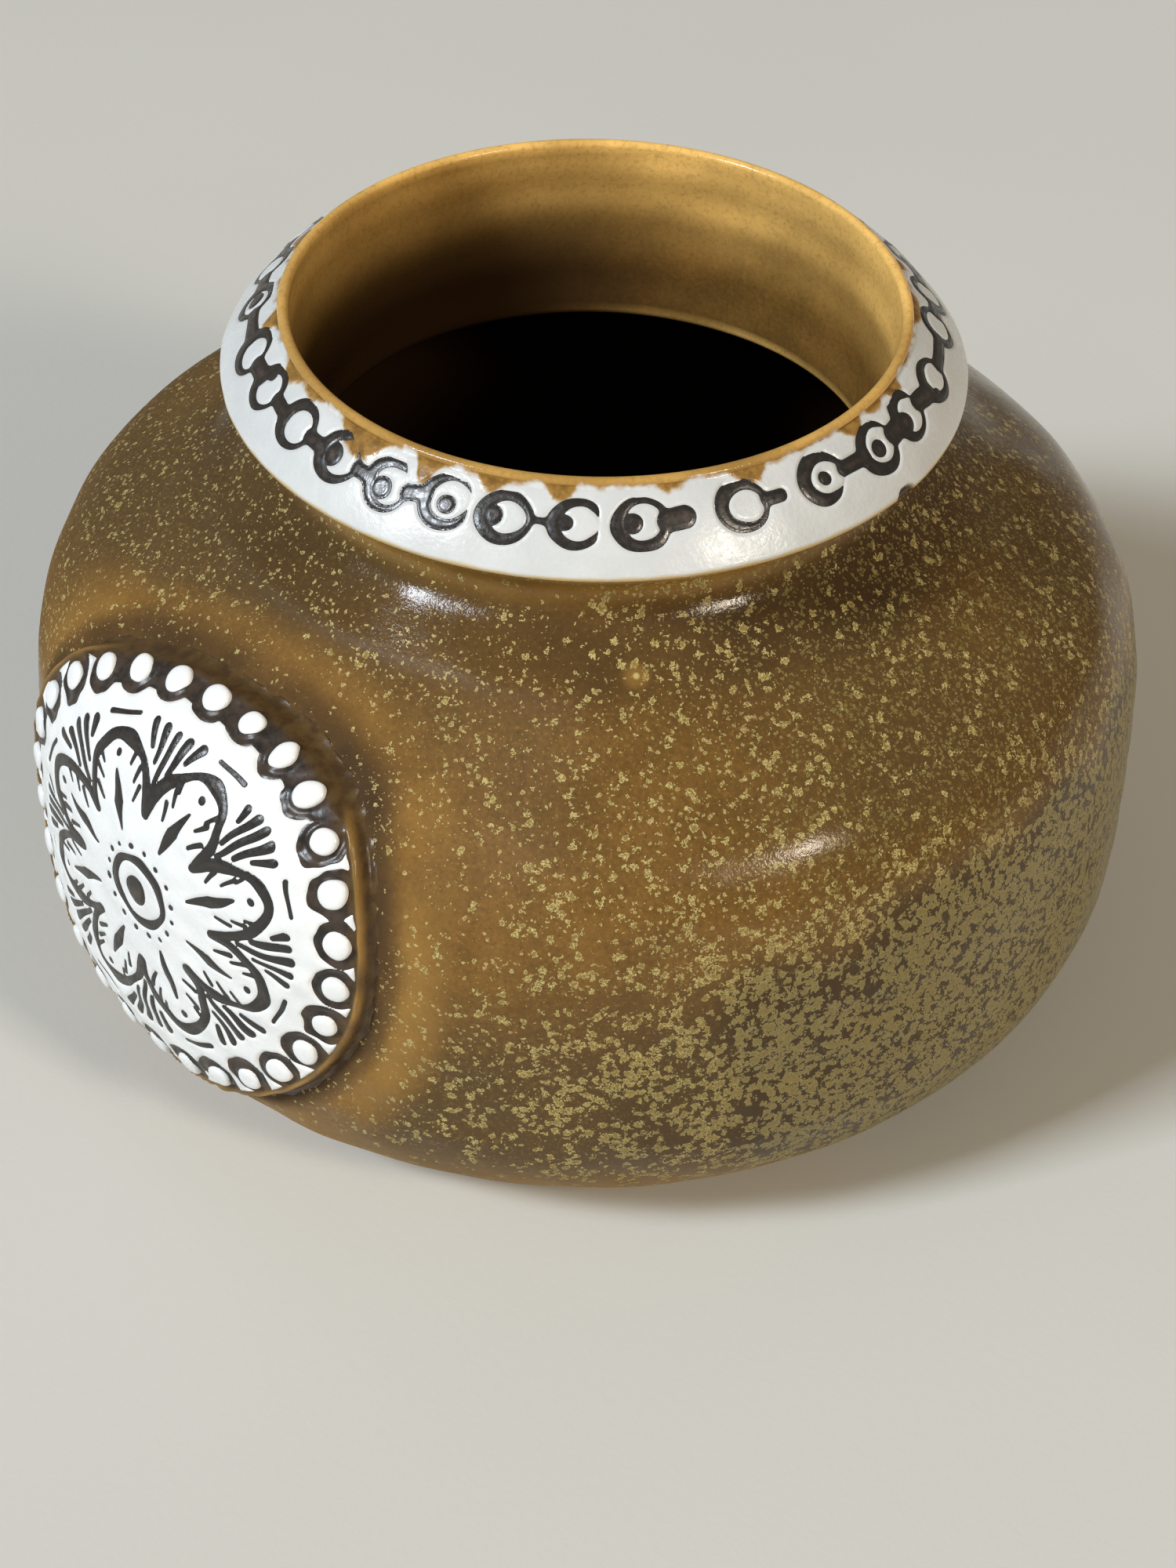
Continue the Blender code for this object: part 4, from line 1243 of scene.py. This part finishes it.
def white_material():
    glaze = Glaze("white_medallion_glaze")
    return finish_white(glaze, white_colour(glaze, WHITE))


def ink_material():
    glaze = Glaze("dark_line_glaze")
    thick = glaze.step(glaze.field("depth"), 0.00035, 0.0011)
    colour = glaze.mix(glaze.times(thick, glaze.cloud(0.0012)), INK, INK_BROWN)
    normal = glaze.bump(glaze.noise(0.00045, 3.0, 0.6), 0.00005, 0.6)
    return glaze.finish(colour, glaze.cloud(0.0007, 0.20, 0.42), normal)


def pool_material():
    glaze = Glaze("dark_pooled_glaze")
    inside = glaze.step(glaze.field("depth"), 0.0010, 0.0024)
    cloud = glaze.cloud(0.0020)
    dark = glaze.mix(inside, glaze.mix(cloud, POOLED, DUSK), glaze.mix(cloud, INK, INK_BROWN))
    colour = glaze.mix(glaze.field("golden"), dark, AMBER)
    normal = glaze.bump(glaze.noise(0.00060, 3.0, 0.6), 0.00005, 0.6)
    return glaze.finish(colour, glaze.cloud(0.0010, 0.24, 0.40), normal, POOL_SHINE)


def floor_material():
    glaze = Glaze("pale_floor")
    cloud = glaze.step(glaze.noise(0.12, 3.0, 0.5), 0.3, 0.7)
    normal = glaze.bump(glaze.noise(0.0011, 3.0, 0.6), 0.0001, 0.25)
    return glaze.finish(glaze.mix(cloud, tinted(FLOOR, 0.97), FLOOR), FLOOR_ROUGHNESS, normal)


# Stage, camera and lamps


def direction(azimuth_from_camera, elevation):
    azimuth = SEEN_SIDE + math.radians(azimuth_from_camera)
    up = math.radians(elevation)
    flat = math.cos(up)
    return Vector((math.sin(azimuth) * flat, -math.cos(azimuth) * flat, math.sin(up)))


def make_floor():
    corners = [(x * FLOOR_REACH, y * FLOOR_REACH, 0) for x, y in ((-1, -1), (1, -1), (1, 1), (-1, 1))]
    mesh = bpy.data.meshes.new("floor")
    mesh.from_pydata(corners, [], [(0, 1, 2, 3)])
    mesh.materials.append(floor_material())
    floor = link("floor", mesh)


def make_camera():
    target = Vector((0.0, 0.0, CAMERA_AIM))
    flat = direction(0.0, 0.0)
    place = target + flat * CAMERA_DISTANCE + Vector((0.0, 0.0, CAMERA_RISE))
    ahead = (target - place).normalized()
    right = ahead.cross(Vector((0.0, 0.0, 1.0))).normalized()
    axes = [right, right.cross(ahead), ahead]
    for number, angle in ((1, CAMERA_PAN), (0, CAMERA_TILT), (2, CAMERA_ROLL)):
        turn = Matrix.Rotation(angle, 3, axes[number])
        axes = [turn @ axis for axis in axes]
    right, up, ahead = axes
    data = bpy.data.cameras.new("camera")
    data.sensor_fit = "VERTICAL"
    data.sensor_height = SENSOR_HEIGHT
    data.sensor_width = SENSOR_HEIGHT
    data.lens = LENS
    camera = link("camera", data)
    turned = Matrix((right, up, -ahead)).transposed().to_4x4()
    camera.matrix_world = Matrix.Translation(place) @ turned
    bpy.context.scene.camera = camera


def make_lamp(name, azimuth, elevation, distance, width, height, power, colour):
    data = bpy.data.lights.new(name, "AREA")
    data.shape = "RECTANGLE"
    data.size = width
    data.size_y = height
    data.energy = power
    data.color = colour
    lamp = link(name, data)
    heading = direction(azimuth, elevation)
    lamp.location = heading * distance + Vector((0.0, 0.0, BELLY_HEIGHT))
    lamp.rotation_mode = "QUATERNION"
    lamp.rotation_quaternion = heading.to_track_quat("Z", "Y")


def make_sky():
    """A plain sky, a little brighter on the key lamp's side."""
    world = bpy.data.worlds.new("sky")
    world.use_nodes = True
    sky = Nodes(world.node_tree, "Generated")
    towards = sky.vector("DOT_PRODUCT", sky.place, direction(KEY_LAMP[0], 0.0)).outputs["Value"]
    background = world.node_tree.nodes["Background"].inputs
    background["Strength"].default_value = 1.0
    sky.feed(background["Color"], sky.mix(sky.step(towards, -0.8, 0.8), FAR_SKY, NEAR_SKY))
    bpy.context.scene.world = world


def dress(piece, material, slot, *nodes):
    piece.data.materials.append(material)
    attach(piece, "root")
    if nodes:
        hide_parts(*nodes)


def main():
    bpy.context.scene.view_settings.view_transform = "Standard"
    make_camera()
    make_lamp("key_lamp", *KEY_LAMP)
    make_lamp("side_lamp", *SIDE_LAMP)
    make_sky()
    make_floor()
    white = white_material()
    ink = ink_material()
    dress(make_body(), body_material(), "ochre_glaze", "vase_body")
    band, chain = make_collar()
    dress(band, band_material(), "white_glaze", "collar_band")
    dress(chain, ink, "dark_inlay", "ring_chain")
    plate, rosette, channel = make_medallion()
    veins = [f"petal_vein_{number + 1}" for number in range(PETAL_COUNT)]
    dress(plate, white, "white_glaze", "medallion_slab")
    dress(rosette, ink, "dark_inlay", "petal_line", "eye_line", *veins)
    dress(channel, pool_material(), "dark_inlay")
    for number, place in enumerate(pearl_places()):
        pearl = make_pearl(f"pearl_dome_{number + 1:02d}", place)
        dress(pearl, white, "white_glaze", f"pearl_{number + 1:02d}")


main()
